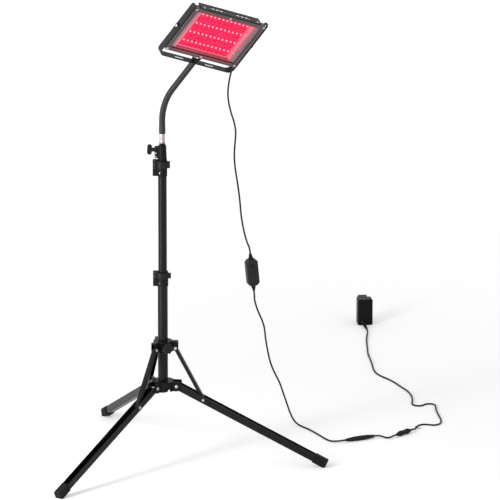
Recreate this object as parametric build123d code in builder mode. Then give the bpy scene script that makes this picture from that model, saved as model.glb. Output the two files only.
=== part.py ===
from build123d import *
from math import asin, cos, degrees, pi, radians, sin, tan
import os

"""Infrared heat therapy lamp: a red LED panel on a gooseneck and a reverse-folding tripod stand.

Millimetres. +Z is up. The origin is on the floor, on the axis of the mast, and leg 1 points along +X.
The panel has a frame of its own: x across it, y up it, z out of its glass.
"""

# ------------------------------------------------------------------ driving dimensions

SLIDE_GAP = 0.15          # radial play between a tube and what slides on it
PIN_GAP = 0.05            # radial play of a hinge on its pin
SIDE_GAP = 0.3            # play between flat faces that pass each other

# mast
TUBE_WALL = 1.0
LOWER_TUBE_OD = 22.0
MIDDLE_TUBE_OD = 19.0
TOP_TUBE_OD = 16.0
LOWER_TUBE_BOTTOM = 157.0
MIDDLE_TUBE_BOTTOM = 371.0
MIDDLE_TUBE_LENGTH = 292.0
TOP_TUBE_LENGTH = 296.0
GUIDE_LENGTH = 30.0       # swaged foot of each sliding tube

# hub
LEG_AZIMUTHS = (0.0, -120.0, 120.0)
HUB_PIVOT_R = 31.0
HUB_PIVOT_Z = 172.0
HUB_HEIGHT = 22.0
HUB_PLATE = 3.0
HUB_BOSS_WALL = 2.6
HUB_WALL = 2.2
HUB_PLATE_R = 25.0
HUB_ARCH_R = 9.0
HUB_ARM_REACH = 40.5
HUB_ARM_LOWER_CORNER = 9.0
HUB_ARM_UPPER_CORNER = 3.5
HUB_PIN_R = 2.5
HUB_EDGE = 1.0

# legs
LEG_LENGTH = 363.8
LEG_END_Z = 9.105         # the leg's axis at its foot
LEG_WIDTH = 17.0
LEG_HEIGHT = 16.0
LEG_WALL = 1.2
LEG_CORNER = 3.0
FOOT_WALL = 2.0
FOOT_GRIP = 24.0
FOOT_TOE = 7.0
BRACE_AT = 66.0

# braces and sliding collar
BRACE_WIDTH = 8.6
BRACE_HEIGHT = 7.4
BRACE_WALL = 1.2
BRACE_PIN_R = 2.0
COLLAR_PIVOT_R = 28.0
COLLAR_PIVOT_Z = 258.0
COLLAR_BOTTOM = 249.0
COLLAR_HEIGHT = 25.0
COLLAR_WALL = 4.2
COLLAR_FLANGE_R = 21.0
COLLAR_FLANGE = 3.0
COLLAR_EDGE = 1.0
COLLAR_EAR = 1.4
COLLAR_EAR_R = 5.5
COLLAR_KNOB_AZIMUTH = -60.0
COLLAR_KNOB_Z = 262.0
COLLAR_BOSS_R = 6.5
COLLAR_BOSS_REACH = 21.0
RIVET_HEAD = 1.0
RIVET_HEAD_R = 3.6
RIVET_TAPER = 35.0
KNOB_R = 11.0
KNOB_DEPTH = 12.0
KNOB_SCALLOP_R = 3.0
KNOB_SCALLOPS = 8
KNOB_STEM_R = 3.0
WASHER = 1.2

# tube locks
LOCK_WALL = 1.3
LOWER_LOCK_BOTTOM = 398.0
LOWER_LOCK_HEIGHT = 33.0
UPPER_LOCK_HEIGHT = 36.0
LOCK_GRIP = 16.0          # how far the larger tube goes into its lock
LOCK_SLIT = 1.4
EAR_REACH = 21.0
EAR_WIDTH = 10.0
EAR_CORNER = 2.0
BOLT_R = 1.7
BOLT_AT = 16.0
BOLT_HEAD_R = 3.4
BOLT_HEAD = 2.6
LEVER_HEAD_R = 3.6
LEVER_THICK = 2.6
LEVER_MARGIN = 1.5
LEVER_PIN_R = 1.3
LEVER_EYE_R = 3.2
LEVER_EYE = 4.0
LEVER_START = 228.0       # azimuths where the lever meets and leaves its lock
LEVER_END = 335.0
LEVER_TIP = 5.0
LEVER_TIP_R = 1.6
LEVER_TIP_TURN = 35.0
LEVER_PIN_HEAD = 0.8
LEVER_PIN_HEAD_R = 2.2
LOCK_RIVET_AZIMUTH = 112.0
LOCK_RIVET_R = 1.5
LOCK_RIVET_HEAD_R = 2.6

# spigot socket and neck
SOCKET_REST = 0.5         # between the upper lock and the socket
SOCKET_HEIGHT = 37.5
SOCKET_R = 10.0
SOCKET_SHOULDER_R = 8.8
SOCKET_RIM_R = 6.45
SOCKET_RIM = 5.5
SOCKET_GRIP = 12.5
SOCKET_RIB_REACH = 16.5
SOCKET_RIB_WIDTH = 9.0
SOCKET_RIB_EDGE = 1.2
SOCKET_RIB_HEIGHT = 26.0
SOCKET_RIB_UP = 16.5      # heights above the socket's foot
SOCKET_SCREW_R = 1.3
SOCKET_SCREW_AT = 13.6
SOCKET_SCREWS_UP = (15.0, 7.0)
SOCKET_SCREW_HEAD_R = 2.2
SOCKET_SCREW_HEAD = 1.6
WING_KNOB_UP = 21.5
WING_SCREW_R = 2.5
WING_HUB_R = 4.5
WING_BAR = 5.0
WING_BAR_R = 5.0
WING_BAR_LENGTH = 23.0
WING_BAR_AT = 28.0
WING_TILT = 20.0
STEM_R = 4.0
STEM_UP = 14.5
SPIGOT_R = 5.9
SPIGOT_LENGTH = 21.0
FERRULE_R = 7.1
FERRULE_LENGTH = 18.0
NECK_R = 6.875
NECK_CUP_GAP = 0.5
NECK_BEND_UP = 10.0       # above the ferrule
NECK_BEND_R = 122.0
NECK_LEAN = 37.4          # slope of the neck's end from upright
NECK_LEAN_AZIMUTH = -15.5
NECK_STRAIGHT = 82.9
NECK_LINKS = 3
NECK_STUD_R = 3.0
NECK_STUD = 9.0

# panel, in its own frame
PANEL_TURN = -35.15       # how far the panel's width is turned about the neck's end
PANEL_WIDTH = 200.0
PANEL_HEIGHT = 124.0
PANEL_CORNER = 4.0
PIVOT_TO_FRONT = 8.5
FRAME_DEPTH = 11.5
FRAME_WALL = 6.0
FRAME_LIP = 9.0
FRAME_LIP_DEPTH = 2.0
FRAME_EDGE = 0.8
POCKET_PLAY = 0.2
POCKET_CORNER = 1.0
GLASS = 3.0
PAN_SHEET = 1.2
PAN_WIDTH = 153.0
PAN_HEIGHT = 103.0
PAN_DEPTH = 7.5
PAN_SLOPE = 4.0           # how much the pan narrows on each side
PAN_CORNER = 2.0
BOARD = 1.6
LED_COLUMNS = 12
LED_ROWS = 8
LED_PITCH_X = 11.5
LED_PITCH_Y = 12.6
LED_R = 2.3
LED_HEIGHT = 3.6
LED_CHAMFER = 1.1
TRAY_RIM = 1.5
TRAY_INSET = 3.0
TRAY_DEPTH = 8.5
TRAY_SLOPE = 4.0
TRAY_WALL = 2.4
FINS = 15
FIN = 2.0
FIN_HEIGHT = 10.0
FIN_MARGIN = 4.0
BOX_WIDTH = 64.0
BOX_HEIGHT = 36.0
BOX_DEPTH = 20.0
BOX_RIGHT = 56.0
BOX_TOP = -14.0
BOX_CORNER = 4.0
BOX_EDGE = 2.0
GLAND_DROP = 24.0         # from the top of the terminal box to the gland
GLAND_BACK = 11.0         # from the housing's back to the gland's axis
GLAND_HEX_R = 7.0
GLAND_HEX = 5.0
GLAND_NUT_R = 5.6
GLAND_NUT = 9.0
GLAND_TIP = 6.0
RAIL_LENGTH = 172.0
RAIL_WIDTH = 19.0
RAIL_SHEET = 2.0
RAIL_CORNER = 2.0
RAIL_SLOT = 46.0
RAIL_SLOT_WIDTH = 5.0
RAIL_SLOT_AT = 36.0
RAIL_SCREW_AT = 76.0
FRAME_SCREW_R = 1.5
FRAME_SCREW_HEAD_R = 2.7
FRAME_SCREW_HEAD = 1.4
FRAME_SCREW_INSET = 4.4
FRAME_SCREW_BITE = 6.0
RAIL_Z = -3.0
RAIL_SCREW_Z = 2.5
RAIL_SCREW_BITE = 4.0

# bracket
BRACKET_GAP = 3.0
BRACKET_SHEET = 2.0
BRACKET_WIDTH = 15.0
BRACKET_DROP = 16.5       # from the panel's lower edge to the bracket's base
BRACKET_BEND = 14.0
BRACKET_ARM_TOP = 66.0
BRACKET_END_HOLE_R = 2.5
BRACKET_SLOT = 27.0
BRACKET_SLOT_WIDTH = 5.0
BRACKET_SLOT_AT = 43.0
TILT_BOLT_R = 2.5
TILT_BOLT_HEAD_R = 5.0
TILT_BOLT_HEAD = 3.5
TILT_BOLT_BITE = 4.0
SPACER_R = 6.5
WING_NUT_R = 6.0
WING_NUT_HEIGHT = 7.0
WING_NUT_SPAN = 24.0
WING_NUT_WING = 3.0
WING_NUT_RISE = 4.0

# cord and what is on it
CORD_R = 2.0
ARC_SHARE = 0.45          # of the shorter run beside a corner
LEAD = 14.0
FLOOR_LEAD = 12.0
SHORT_LEAD = 9.0
BOOT_LEAD = 22.0
TIP_R = 2.8
CONTROLLER_AT = (179.5, 122.5, 402.0)
CONTROLLER_AXIS = (-5.0, -7.0, 64.0)
CONTROLLER_FACES = (0.472, -0.881, 0.0)
CONTROLLER_WIDTH = 27.0
CONTROLLER_LENGTH = 62.0
CONTROLLER_THICK = 18.0
CONTROLLER_NECK = 15.0
CONTROLLER_SHOULDER = 6.0
CONTROLLER_CORNER = 3.0
CONTROLLER_EDGE = 3.5
RELIEF = 13.0
RELIEF_R = 6.0
BUTTON_R = 4.0
BUTTON_GAP = 0.25
BUTTON_AT = (-2.0, 17.0)
BUTTON_PROUD = 1.3
BUTTON_FLANGE_R = 5.0
BUTTON_FLANGE = 1.0
SHELL_WALL = 2.0
SPLICE_FROM = (380.0, 184.0)
SPLICE_TO = (439.0, 224.0)
SPLICE_R = 5.5
CONNECTOR_FROM = (487.0, 239.0)
CONNECTOR_TO = (514.0, 279.0)
CONNECTOR_R = 6.0
CONNECTOR_TAPER = 9.0
CONNECTOR_RIB = 0.6
CONNECTOR_RIBS = 3
CONNECTOR_RIB_WIDTH = 1.5
CONNECTOR_SPLIT = 0.5     # share of the length that is the plug
DC_PIN_R = 2.7
DC_PIN = 9.0
TIE_SHARE = 0.52          # along the first run of the adapter cord
TIE_WIDTH = 3.0
TIE_SHEET = 1.0
TIE_TAIL = 9.0
ADAPTER_AT = (300.0, 1121.0)
ADAPTER_YAW = 16.3
ADAPTER_WIDTH = 35.0
ADAPTER_HEIGHT = 62.7
ADAPTER_DEPTH = 28.0
ADAPTER_CORNER = 3.5
ADAPTER_EDGE = 2.5
BOSS_TOP_INSET = 2.0
BOSS_CORNER = 4.0
BOSS_WIDTH = 23.0
BOSS_HEIGHT = 25.0
BOSS_DEPTH = 22.0
PRONG_R = 2.0
PRONG_ROOT_R = 1.7        # the sleeved part, in the boss and just outside it
PRONG_ROOT = 1.0
PRONG_LENGTH = 19.0
PRONG_BITE = 12.0
PRONG_PITCH = 18.6
BOOT_LENGTH = 45.0
BOOT_R = 4.5
BOOT_Z = 5.0
BOOT_AT = -4.0
INDICATOR_R = 1.5
INDICATOR_AT = (-10.5, 8.0)

# routes of the cord, by hand; the first and last point of each come from the pieces it joins
LAMP_CORD_TOP = 929.1     # height of the gland that the lamp cord's route below starts from
LAMP_CORD = [
    (148, 74, 914), (148, 77, 893), (140, 73, 866), (134, 70, 832), (134, 70, 806), (139, 74, 778), (147, 78, 752),
    (150, 82, 728), (147, 84, 700), (145, 87, 672), (147, 91, 642), (152, 96, 606), (156, 100, 568), (158, 103, 534),
    (163, 108, 500), (170, 113, 470),
]
LOWER_CORD = [
    (184, 130, 334), (190, 138, 309), (198, 148, 286), (202, 160, 264), (202, 173, 237), (205, 187, 203),
    (209, 202, 171), (216, 218, 144), (225, 236, 117), (230, 253, 89), (235, 271, 62), (239, 284, 40), (244, 292, 22),
    (251, 294, 9), (261, 290, 3), (272, 280, 2), (287, 264, 2), (304, 241, 2), (319, 219, 2), (333, 197, 2),
    (346.4, 182.2, 2.5), (358.1, 176.5, 4),
]
LINK_CORD = [(456.5, 229, 4), (465.2, 224, 2.4), (475.2, 224.9, 3.6)]
ADAPTER_CORD = [
    (521, 302, 2), (523, 326, 2), (531, 337, 2), (544, 339, 2), (557, 335, 2), (568, 341, 2), (573, 357, 2),
    (569, 383, 2), (560, 413, 2), (551, 446, 2), (546, 475, 2), (543, 492, 2), (532, 498.5, 2), (520, 494, 2),
    (515.5, 481, 2), (504, 476.5, 2), (493, 483, 2), (489.5, 497, 2), (488, 522, 2), (481, 557, 2), (467, 592, 2),
    (449, 619, 2), (434, 646, 2), (416, 672, 2), (397, 692, 2), (380, 716, 2), (370, 744, 2), (362, 784, 2),
    (352, 827, 2), (341, 868, 2), (334, 914, 2), (326, 962, 2), (320, 1006, 2.6),
]

# ------------------------------------------------------------------ places worked out from them

LEG_NUMBERS = tuple(enumerate(LEG_AZIMUTHS, start=1))
LOWER_TUBE_R = LOWER_TUBE_OD / 2
MIDDLE_TUBE_R = MIDDLE_TUBE_OD / 2
TOP_TUBE_R = TOP_TUBE_OD / 2
HUB_BOTTOM = HUB_PIVOT_Z - HUB_HEIGHT / 2
HUB_TOP = HUB_BOTTOM + HUB_HEIGHT
LEG_SLOPE = degrees(asin((HUB_PIVOT_Z - LEG_END_Z) / LEG_LENGTH))
LEG_CLEAR_R = HUB_PIVOT_R - LEG_HEIGHT / 2 - 2 * SIDE_GAP
CHEEK_IN = LEG_WIDTH / 2 + SIDE_GAP
CHEEK_OUT = CHEEK_IN + HUB_WALL
EAR_IN = BRACE_WIDTH / 2 + SIDE_GAP * 2 / 3
EAR_OUT = EAR_IN + COLLAR_EAR
COLLAR_R = LOWER_TUBE_R + COLLAR_WALL
COLLAR_TOP = COLLAR_BOTTOM + COLLAR_HEIGHT
LOWER_LOCK_R = LOWER_TUBE_R + LOCK_WALL
UPPER_LOCK_R = MIDDLE_TUBE_R + LOCK_WALL
LOWER_SLIT_Z = LOWER_LOCK_BOTTOM + LOCK_GRIP
UPPER_SLIT_Z = MIDDLE_TUBE_BOTTOM + MIDDLE_TUBE_LENGTH
UPPER_LOCK_BOTTOM = UPPER_SLIT_Z - LOCK_GRIP
SOCKET_BOTTOM = UPPER_LOCK_BOTTOM + UPPER_LOCK_HEIGHT + SOCKET_REST
SOCKET_TOP = SOCKET_BOTTOM + SOCKET_HEIGHT
SOCKET_RIB_Z = SOCKET_BOTTOM + SOCKET_RIB_UP
WING_KNOB_Z = SOCKET_BOTTOM + WING_KNOB_UP
STEM_BOTTOM = SOCKET_BOTTOM + STEM_UP
SPIGOT_TOP = SOCKET_TOP + SPIGOT_LENGTH
FERRULE_TOP = SPIGOT_TOP + FERRULE_LENGTH
NECK_BEND_START = FERRULE_TOP + NECK_BEND_UP
TOP_TUBE_TOP = SOCKET_BOTTOM + SOCKET_GRIP
TOP_TUBE_BOTTOM = TOP_TUBE_TOP - TOP_TUBE_LENGTH
SPIGOT_BOTTOM = SOCKET_TOP + SIDE_GAP
LINK_TURN = NECK_LEAN / NECK_LINKS
LINK_LENGTH = 2 * NECK_BEND_R * tan(radians(LINK_TURN / 2))
GLASS_FRONT = PIVOT_TO_FRONT - FRAME_LIP_DEPTH
GLASS_BACK = GLASS_FRONT - GLASS
PAN_FRONT = GLASS_BACK
PAN_FLOOR = PAN_FRONT - PAN_DEPTH
TRAY_FRONT = PAN_FRONT - PAN_SHEET
FRAME_BACK = PIVOT_TO_FRONT - FRAME_DEPTH
TRAY_STEP = FRAME_BACK - TRAY_RIM
TRAY_BACK = TRAY_STEP - TRAY_DEPTH
POCKET_WIDTH = PANEL_WIDTH - 2 * FRAME_WALL
POCKET_HEIGHT = PANEL_HEIGHT - 2 * FRAME_WALL
ARM_IN = PANEL_WIDTH / 2 + BRACKET_GAP
ARM_OUT = ARM_IN + BRACKET_SHEET
BASE_TOP = -PANEL_HEIGHT / 2 - BRACKET_DROP
BASE_BOTTOM = BASE_TOP - BRACKET_SHEET
GLAND_Y = BOX_TOP - GLAND_DROP
GLAND_Z = TRAY_BACK - GLAND_BACK
GLAND_LENGTH = GLAND_HEX + GLAND_NUT + GLAND_TIP
SOCKET_SCREWS = [(-SOCKET_SCREW_AT, SOCKET_BOTTOM + height) for height in SOCKET_SCREWS_UP]
FRAME_SCREW_X = PANEL_WIDTH / 2 - FRAME_SCREW_INSET
FRAME_SCREW_Y = PANEL_HEIGHT / 2 - FRAME_SCREW_INSET
FRAME_SCREWS = [
    (x * FRAME_SCREW_X, y * FRAME_SCREW_Y) for x in (-1, 0, 1) for y in (-1, 0, 1) if abs(x) + abs(y) > 0
    and not (abs(x) == 1 and y == 0)
]


def polar(r, azimuth, z=0.0):
    """A point at a distance from the mast's axis."""
    return Vector(r * cos(radians(azimuth)), r * sin(radians(azimuth)), z)


def level_plane(z, azimuth=0.0):
    """A level plane on the mast's axis, with x outwards at the azimuth."""
    return Plane(origin=(0, 0, z), x_dir=polar(1, azimuth), z_dir=(0, 0, 1))


def side_plane(azimuth):
    """The upright plane through the mast's axis: x outwards, y up."""
    return Plane(origin=(0, 0, 0), x_dir=polar(1, azimuth), z_dir=polar(1, azimuth - 90))


def radial_plane(r, azimuth, z):
    """A plane that faces outwards at a distance from the mast's axis."""
    return Plane(origin=polar(r, azimuth, z), x_dir=polar(1, azimuth + 90), z_dir=polar(1, azimuth))


def leaning(angle):
    """The direction of the neck where it leans by the angle."""
    return polar(sin(radians(angle)), NECK_LEAN_AZIMUTH, cos(radians(angle)))


def leg_plane(azimuth):
    """The upright plane of a leg, from its pivot: x along the leg, y across it."""
    along = polar(cos(radians(LEG_SLOPE)), azimuth, -sin(radians(LEG_SLOPE)))
    return Plane(origin=polar(HUB_PIVOT_R, azimuth, HUB_PIVOT_Z), x_dir=along, z_dir=polar(1, azimuth - 90))


def brace_plane(azimuth):
    """The upright plane of a brace, from its pivot on the leg: x along the brace towards the collar."""
    leg = leg_plane(azimuth)
    start = leg.from_local_coords((BRACE_AT, 0, 0))
    along = polar(COLLAR_PIVOT_R, azimuth, COLLAR_PIVOT_Z) - start
    return Plane(origin=start, x_dir=along, z_dir=leg.z_dir)


def across(plane, x):
    """The plane across a leg or brace at x along it, with y in the leg's own y direction."""
    return Plane(origin=plane.from_local_coords((x, 0, 0)), x_dir=-plane.z_dir, z_dir=plane.x_dir)


def neck_points():
    """The neck's pivots, each with the direction that the neck has above it, and its end."""
    place = Vector(0, 0, NECK_BEND_START + LINK_LENGTH / 2)
    points = []
    for number in range(1, NECK_LINKS + 1):
        way = leaning(LINK_TURN * number)
        points.append((place, way))
        place = place + way * (LINK_LENGTH if number < NECK_LINKS else LINK_LENGTH / 2 + NECK_STRAIGHT)
    return points, place


NECK_PIVOTS, NECK_END = neck_points()


def panel_plane():
    """The panel's own frame, on its tilt axis: x across the panel, y up it, z out of the glass."""
    up = leaning(NECK_LEAN)
    level = Vector(0, 0, 1).cross(up).normalized()
    turn = radians(PANEL_TURN)
    width = level * cos(turn) + up.cross(level) * sin(turn)
    return Plane(origin=NECK_END - up * BASE_BOTTOM, x_dir=width, z_dir=width.cross(up))


PANEL = panel_plane()


def panel_side(x, sign=1):
    """A plane across the panel's width at x, facing +x or -x: its x runs out of the glass or into it."""
    return Plane(origin=PANEL.from_local_coords((x, 0, 0)), x_dir=-PANEL.z_dir * sign, z_dir=PANEL.x_dir * sign)


def panel_level(y):
    """A plane across the panel's height at y, facing up the panel: x across the panel, y into it."""
    return Plane(origin=PANEL.from_local_coords((0, y, 0)), x_dir=PANEL.x_dir, z_dir=PANEL.y_dir)


def save(piece, name):
    """Writes one sub-part under its node's name."""
    piece.label = name
    export_step(piece, f"parts/{name}.step")
    return piece


def rivet(plane, place, grip, shank_r):
    """A rivet across a plane at a local place: a shank of the half length each way and two tapered heads."""
    with BuildPart() as made:
        with BuildSketch(plane):
            with Locations(place):
                Circle(shank_r)
        extrude(amount=grip, both=True)
        for side in (1, -1):
            with BuildSketch(plane.offset(side * grip)):
                with Locations(place):
                    Circle(RIVET_HEAD_R)
            extrude(amount=side * RIVET_HEAD, taper=RIVET_TAPER)
    return made.part


def link(start, start_r, end, end_r):
    """The outline round two circles."""
    with BuildSketch(mode=Mode.PRIVATE) as outline:
        with Locations(start):
            Circle(start_r)
        with Locations(end):
            Circle(end_r)
        make_hull()
    return outline.sketch


def tube(outer_r, bottom, length, guide_r=0.0):
    """An upright tube on the mast's axis, its foot swaged out to a guide if it slides in another tube."""
    with BuildPart() as made:
        with BuildSketch(level_plane(bottom)):
            Circle(outer_r)
        extrude(amount=length)
        if guide_r:
            with BuildSketch(level_plane(bottom)):
                Circle(guide_r)
            extrude(amount=GUIDE_LENGTH)
        with BuildSketch(level_plane(bottom)):
            Circle(outer_r - TUBE_WALL)
        extrude(amount=length, mode=Mode.SUBTRACT)
    return made.part


os.makedirs("parts", exist_ok=True)

# ------------------------------------------------------------------ hub

with BuildPart() as hub:
    with BuildSketch(level_plane(HUB_BOTTOM)):
        Circle(HUB_PLATE_R)
    extrude(amount=HUB_HEIGHT)
    for azimuth in LEG_AZIMUTHS:
        with BuildSketch(side_plane(azimuth)) as arm:
            with Locations((HUB_ARM_REACH / 2, HUB_PIVOT_Z)):
                Rectangle(HUB_ARM_REACH, HUB_HEIGHT)
            fillet(arm.vertices().group_by(Axis.X)[-1].sort_by(Axis.Y)[:1], HUB_ARM_LOWER_CORNER)
            fillet(arm.vertices().sort_by(Axis.Y).group_by(Axis.Y)[-1].sort_by(Axis.X)[-1:], HUB_ARM_UPPER_CORNER)
        extrude(amount=CHEEK_OUT, both=True)
    fillet(hub.faces().sort_by(Axis.Z)[-1].outer_wire().edges(), HUB_EDGE)
    with BuildSketch(level_plane(HUB_BOTTOM)):
        Circle(LEG_CLEAR_R - HUB_WALL)
        Circle(LOWER_TUBE_R + HUB_BOSS_WALL, mode=Mode.SUBTRACT)
    extrude(amount=HUB_HEIGHT - HUB_PLATE, mode=Mode.SUBTRACT)
    with BuildSketch(level_plane(HUB_BOTTOM)):
        with PolarLocations(LEG_CLEAR_R + HUB_PIVOT_R / 2, len(LEG_AZIMUTHS)):
            Rectangle(HUB_PIVOT_R, 2 * CHEEK_IN)
    extrude(amount=HUB_HEIGHT, mode=Mode.SUBTRACT)
    for azimuth in LEG_AZIMUTHS:
        with BuildSketch(radial_plane(LOWER_TUBE_R + HUB_BOSS_WALL + SIDE_GAP, azimuth + 60, HUB_BOTTOM)):
            Circle(HUB_ARCH_R)
        extrude(amount=HUB_PLATE_R, mode=Mode.SUBTRACT)
        with BuildSketch(side_plane(azimuth)):
            with Locations((HUB_PIVOT_R, HUB_PIVOT_Z)):
                Circle(HUB_PIN_R)
        extrude(amount=2 * CHEEK_OUT, both=True, mode=Mode.SUBTRACT)
    with BuildSketch(level_plane(HUB_BOTTOM)):
        Circle(LOWER_TUBE_R)
    extrude(amount=HUB_HEIGHT, mode=Mode.SUBTRACT)
save(hub.part, "hub")

with BuildPart() as hub_pins:
    for azimuth in LEG_AZIMUTHS:
        add(rivet(side_plane(azimuth), (HUB_PIVOT_R, HUB_PIVOT_Z), CHEEK_OUT, HUB_PIN_R))
save(hub_pins.part, "hub_pins")

# ------------------------------------------------------------------ mast tubes

save(tube(LOWER_TUBE_R, LOWER_TUBE_BOTTOM, LOWER_SLIT_Z - LOWER_TUBE_BOTTOM), "mast_lower_tube")
save(
    tube(MIDDLE_TUBE_R, MIDDLE_TUBE_BOTTOM, MIDDLE_TUBE_LENGTH, LOWER_TUBE_R - TUBE_WALL - PIN_GAP),
    "mast_middle_tube",
)
save(
    tube(TOP_TUBE_R, TOP_TUBE_BOTTOM, TOP_TUBE_LENGTH, MIDDLE_TUBE_R - TUBE_WALL - PIN_GAP),
    "mast_top_tube",
)

# ------------------------------------------------------------------ legs


for number, azimuth in LEG_NUMBERS:
    plane = leg_plane(azimuth)
    with BuildPart() as leg:
        with BuildSketch(across(plane, -LEG_HEIGHT / 2)) as section:
            Rectangle(LEG_WIDTH, LEG_HEIGHT)
            fillet(section.vertices().group_by(Axis.Y)[0], LEG_CORNER)
            with Locations((0, LEG_WALL)):
                Rectangle(LEG_WIDTH - 2 * LEG_WALL, LEG_HEIGHT, mode=Mode.SUBTRACT)
        extrude(amount=LEG_LENGTH + LEG_HEIGHT / 2)
        with BuildSketch(plane):
            Circle(LEG_HEIGHT / 2)
            with Locations((LEG_LENGTH / 2, 0)):
                Rectangle(LEG_LENGTH, LEG_HEIGHT)
        extrude(amount=LEG_WIDTH, both=True, mode=Mode.INTERSECT)
        with BuildSketch(plane):
            Circle(HUB_PIN_R + PIN_GAP)
        extrude(amount=LEG_WIDTH, both=True, mode=Mode.SUBTRACT)
        add(rivet(plane, (BRACE_AT, 0), LEG_WIDTH / 2, BRACE_PIN_R))
    save(leg.part, f"leg_{number}_channel")

    with BuildPart() as foot:
        with BuildSketch(across(plane, LEG_LENGTH - FOOT_GRIP)):
            RectangleRounded(LEG_WIDTH + 2 * FOOT_WALL, LEG_HEIGHT + 2 * FOOT_WALL, LEG_CORNER + FOOT_WALL)
        extrude(amount=FOOT_GRIP + FOOT_TOE)
        fillet(foot.faces().sort_by(Axis(plane.origin, plane.x_dir))[-1].edges(), LEG_CORNER)
        with BuildSketch(across(plane, LEG_LENGTH - FOOT_GRIP)) as pocket:
            Rectangle(LEG_WIDTH, LEG_HEIGHT)
            fillet(pocket.vertices().group_by(Axis.Y)[0], LEG_CORNER)
        extrude(amount=FOOT_GRIP, mode=Mode.SUBTRACT)
        split(bisect_by=Plane.XY, keep=Keep.TOP)
    save(foot.part, f"leg_{number}_foot")

    plane = brace_plane(azimuth)
    span = (polar(COLLAR_PIVOT_R, azimuth, COLLAR_PIVOT_Z) - plane.origin).length
    with BuildPart() as brace:
        with BuildSketch(across(plane, -BRACE_HEIGHT / 2)):
            Rectangle(BRACE_WIDTH, BRACE_HEIGHT)
            with Locations((0, BRACE_WALL)):
                Rectangle(BRACE_WIDTH - 2 * BRACE_WALL, BRACE_HEIGHT, mode=Mode.SUBTRACT)
        extrude(amount=span + BRACE_HEIGHT)
        with BuildSketch(plane):
            with Locations((span / 2, 0)):
                SlotOverall(span + BRACE_HEIGHT, BRACE_HEIGHT)
        extrude(amount=BRACE_WIDTH, both=True, mode=Mode.INTERSECT)
        with BuildSketch(plane):
            with Locations((0, 0), (span, 0)):
                Circle(BRACE_PIN_R + PIN_GAP)
        extrude(amount=BRACE_WIDTH, both=True, mode=Mode.SUBTRACT)
    save(brace.part, f"brace_{number}")

# ------------------------------------------------------------------ sliding collar

with BuildPart() as collar:
    with BuildSketch(level_plane(COLLAR_BOTTOM)):
        Circle(COLLAR_R)
    extrude(amount=COLLAR_HEIGHT)
    with BuildSketch(level_plane(COLLAR_TOP)):
        Circle(COLLAR_FLANGE_R)
    extrude(amount=-COLLAR_FLANGE)
    fillet(collar.faces().sort_by(Axis.Z)[-1].edges(), COLLAR_EDGE)
    for azimuth in LEG_AZIMUTHS:
        with BuildSketch(side_plane(azimuth)):
            with Locations((COLLAR_PIVOT_R / 2, COLLAR_PIVOT_Z)):
                Rectangle(COLLAR_PIVOT_R, 2 * COLLAR_EAR_R)
            with Locations((COLLAR_PIVOT_R, COLLAR_PIVOT_Z)):
                Circle(COLLAR_EAR_R)
            with Locations(((COLLAR_PIVOT_R + COLLAR_EAR_R) / 2, (COLLAR_PIVOT_Z + COLLAR_TOP) / 2)):
                Rectangle(COLLAR_PIVOT_R + COLLAR_EAR_R, COLLAR_TOP - COLLAR_PIVOT_Z)
        extrude(amount=EAR_OUT, both=True)
    with BuildSketch(radial_plane(LOWER_TUBE_R, COLLAR_KNOB_AZIMUTH, COLLAR_KNOB_Z)):
        Circle(COLLAR_BOSS_R)
    extrude(amount=COLLAR_BOSS_REACH - LOWER_TUBE_R)
    for azimuth in LEG_AZIMUTHS:
        pocket_r, pocket_top = COLLAR_R + SIDE_GAP, COLLAR_TOP - COLLAR_FLANGE - SIDE_GAP
        with BuildSketch(side_plane(azimuth)):
            with Locations((pocket_r + COLLAR_PIVOT_R / 2, pocket_top - COLLAR_PIVOT_R / 2)):
                Rectangle(COLLAR_PIVOT_R, COLLAR_PIVOT_R)
        extrude(amount=EAR_IN, both=True, mode=Mode.SUBTRACT)
        with BuildSketch(side_plane(azimuth)):
            with Locations((COLLAR_PIVOT_R, COLLAR_PIVOT_Z)):
                Circle(BRACE_PIN_R)
        extrude(amount=2 * EAR_OUT, both=True, mode=Mode.SUBTRACT)
    with BuildSketch(level_plane(COLLAR_BOTTOM)):
        Circle(LOWER_TUBE_R + SLIDE_GAP)
    extrude(amount=COLLAR_HEIGHT, mode=Mode.SUBTRACT)
    with BuildSketch(radial_plane(0, COLLAR_KNOB_AZIMUTH, COLLAR_KNOB_Z)):
        Circle(KNOB_STEM_R + PIN_GAP)
    extrude(amount=2 * COLLAR_BOSS_REACH, mode=Mode.SUBTRACT)
save(collar.part, "collar")

with BuildPart() as collar_fasteners:
    for azimuth in LEG_AZIMUTHS:
        for side in (1, -1):
            with BuildSketch(side_plane(azimuth).offset(side * EAR_IN)):
                with Locations((COLLAR_PIVOT_R, COLLAR_PIVOT_Z)):
                    Circle(BRACE_PIN_R)
            extrude(amount=side * COLLAR_EAR)
            with BuildSketch(side_plane(azimuth).offset(side * EAR_OUT)):
                with Locations((COLLAR_PIVOT_R, COLLAR_PIVOT_Z)):
                    Circle(RIVET_HEAD_R)
            extrude(amount=side * RIVET_HEAD, taper=RIVET_TAPER)
    with BuildSketch(radial_plane(COLLAR_BOSS_REACH, COLLAR_KNOB_AZIMUTH, COLLAR_KNOB_Z)):
        Circle(COLLAR_BOSS_R)
        Circle(KNOB_STEM_R + PIN_GAP, mode=Mode.SUBTRACT)
    extrude(amount=WASHER)
save(collar_fasteners.part, "collar_fasteners")

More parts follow.
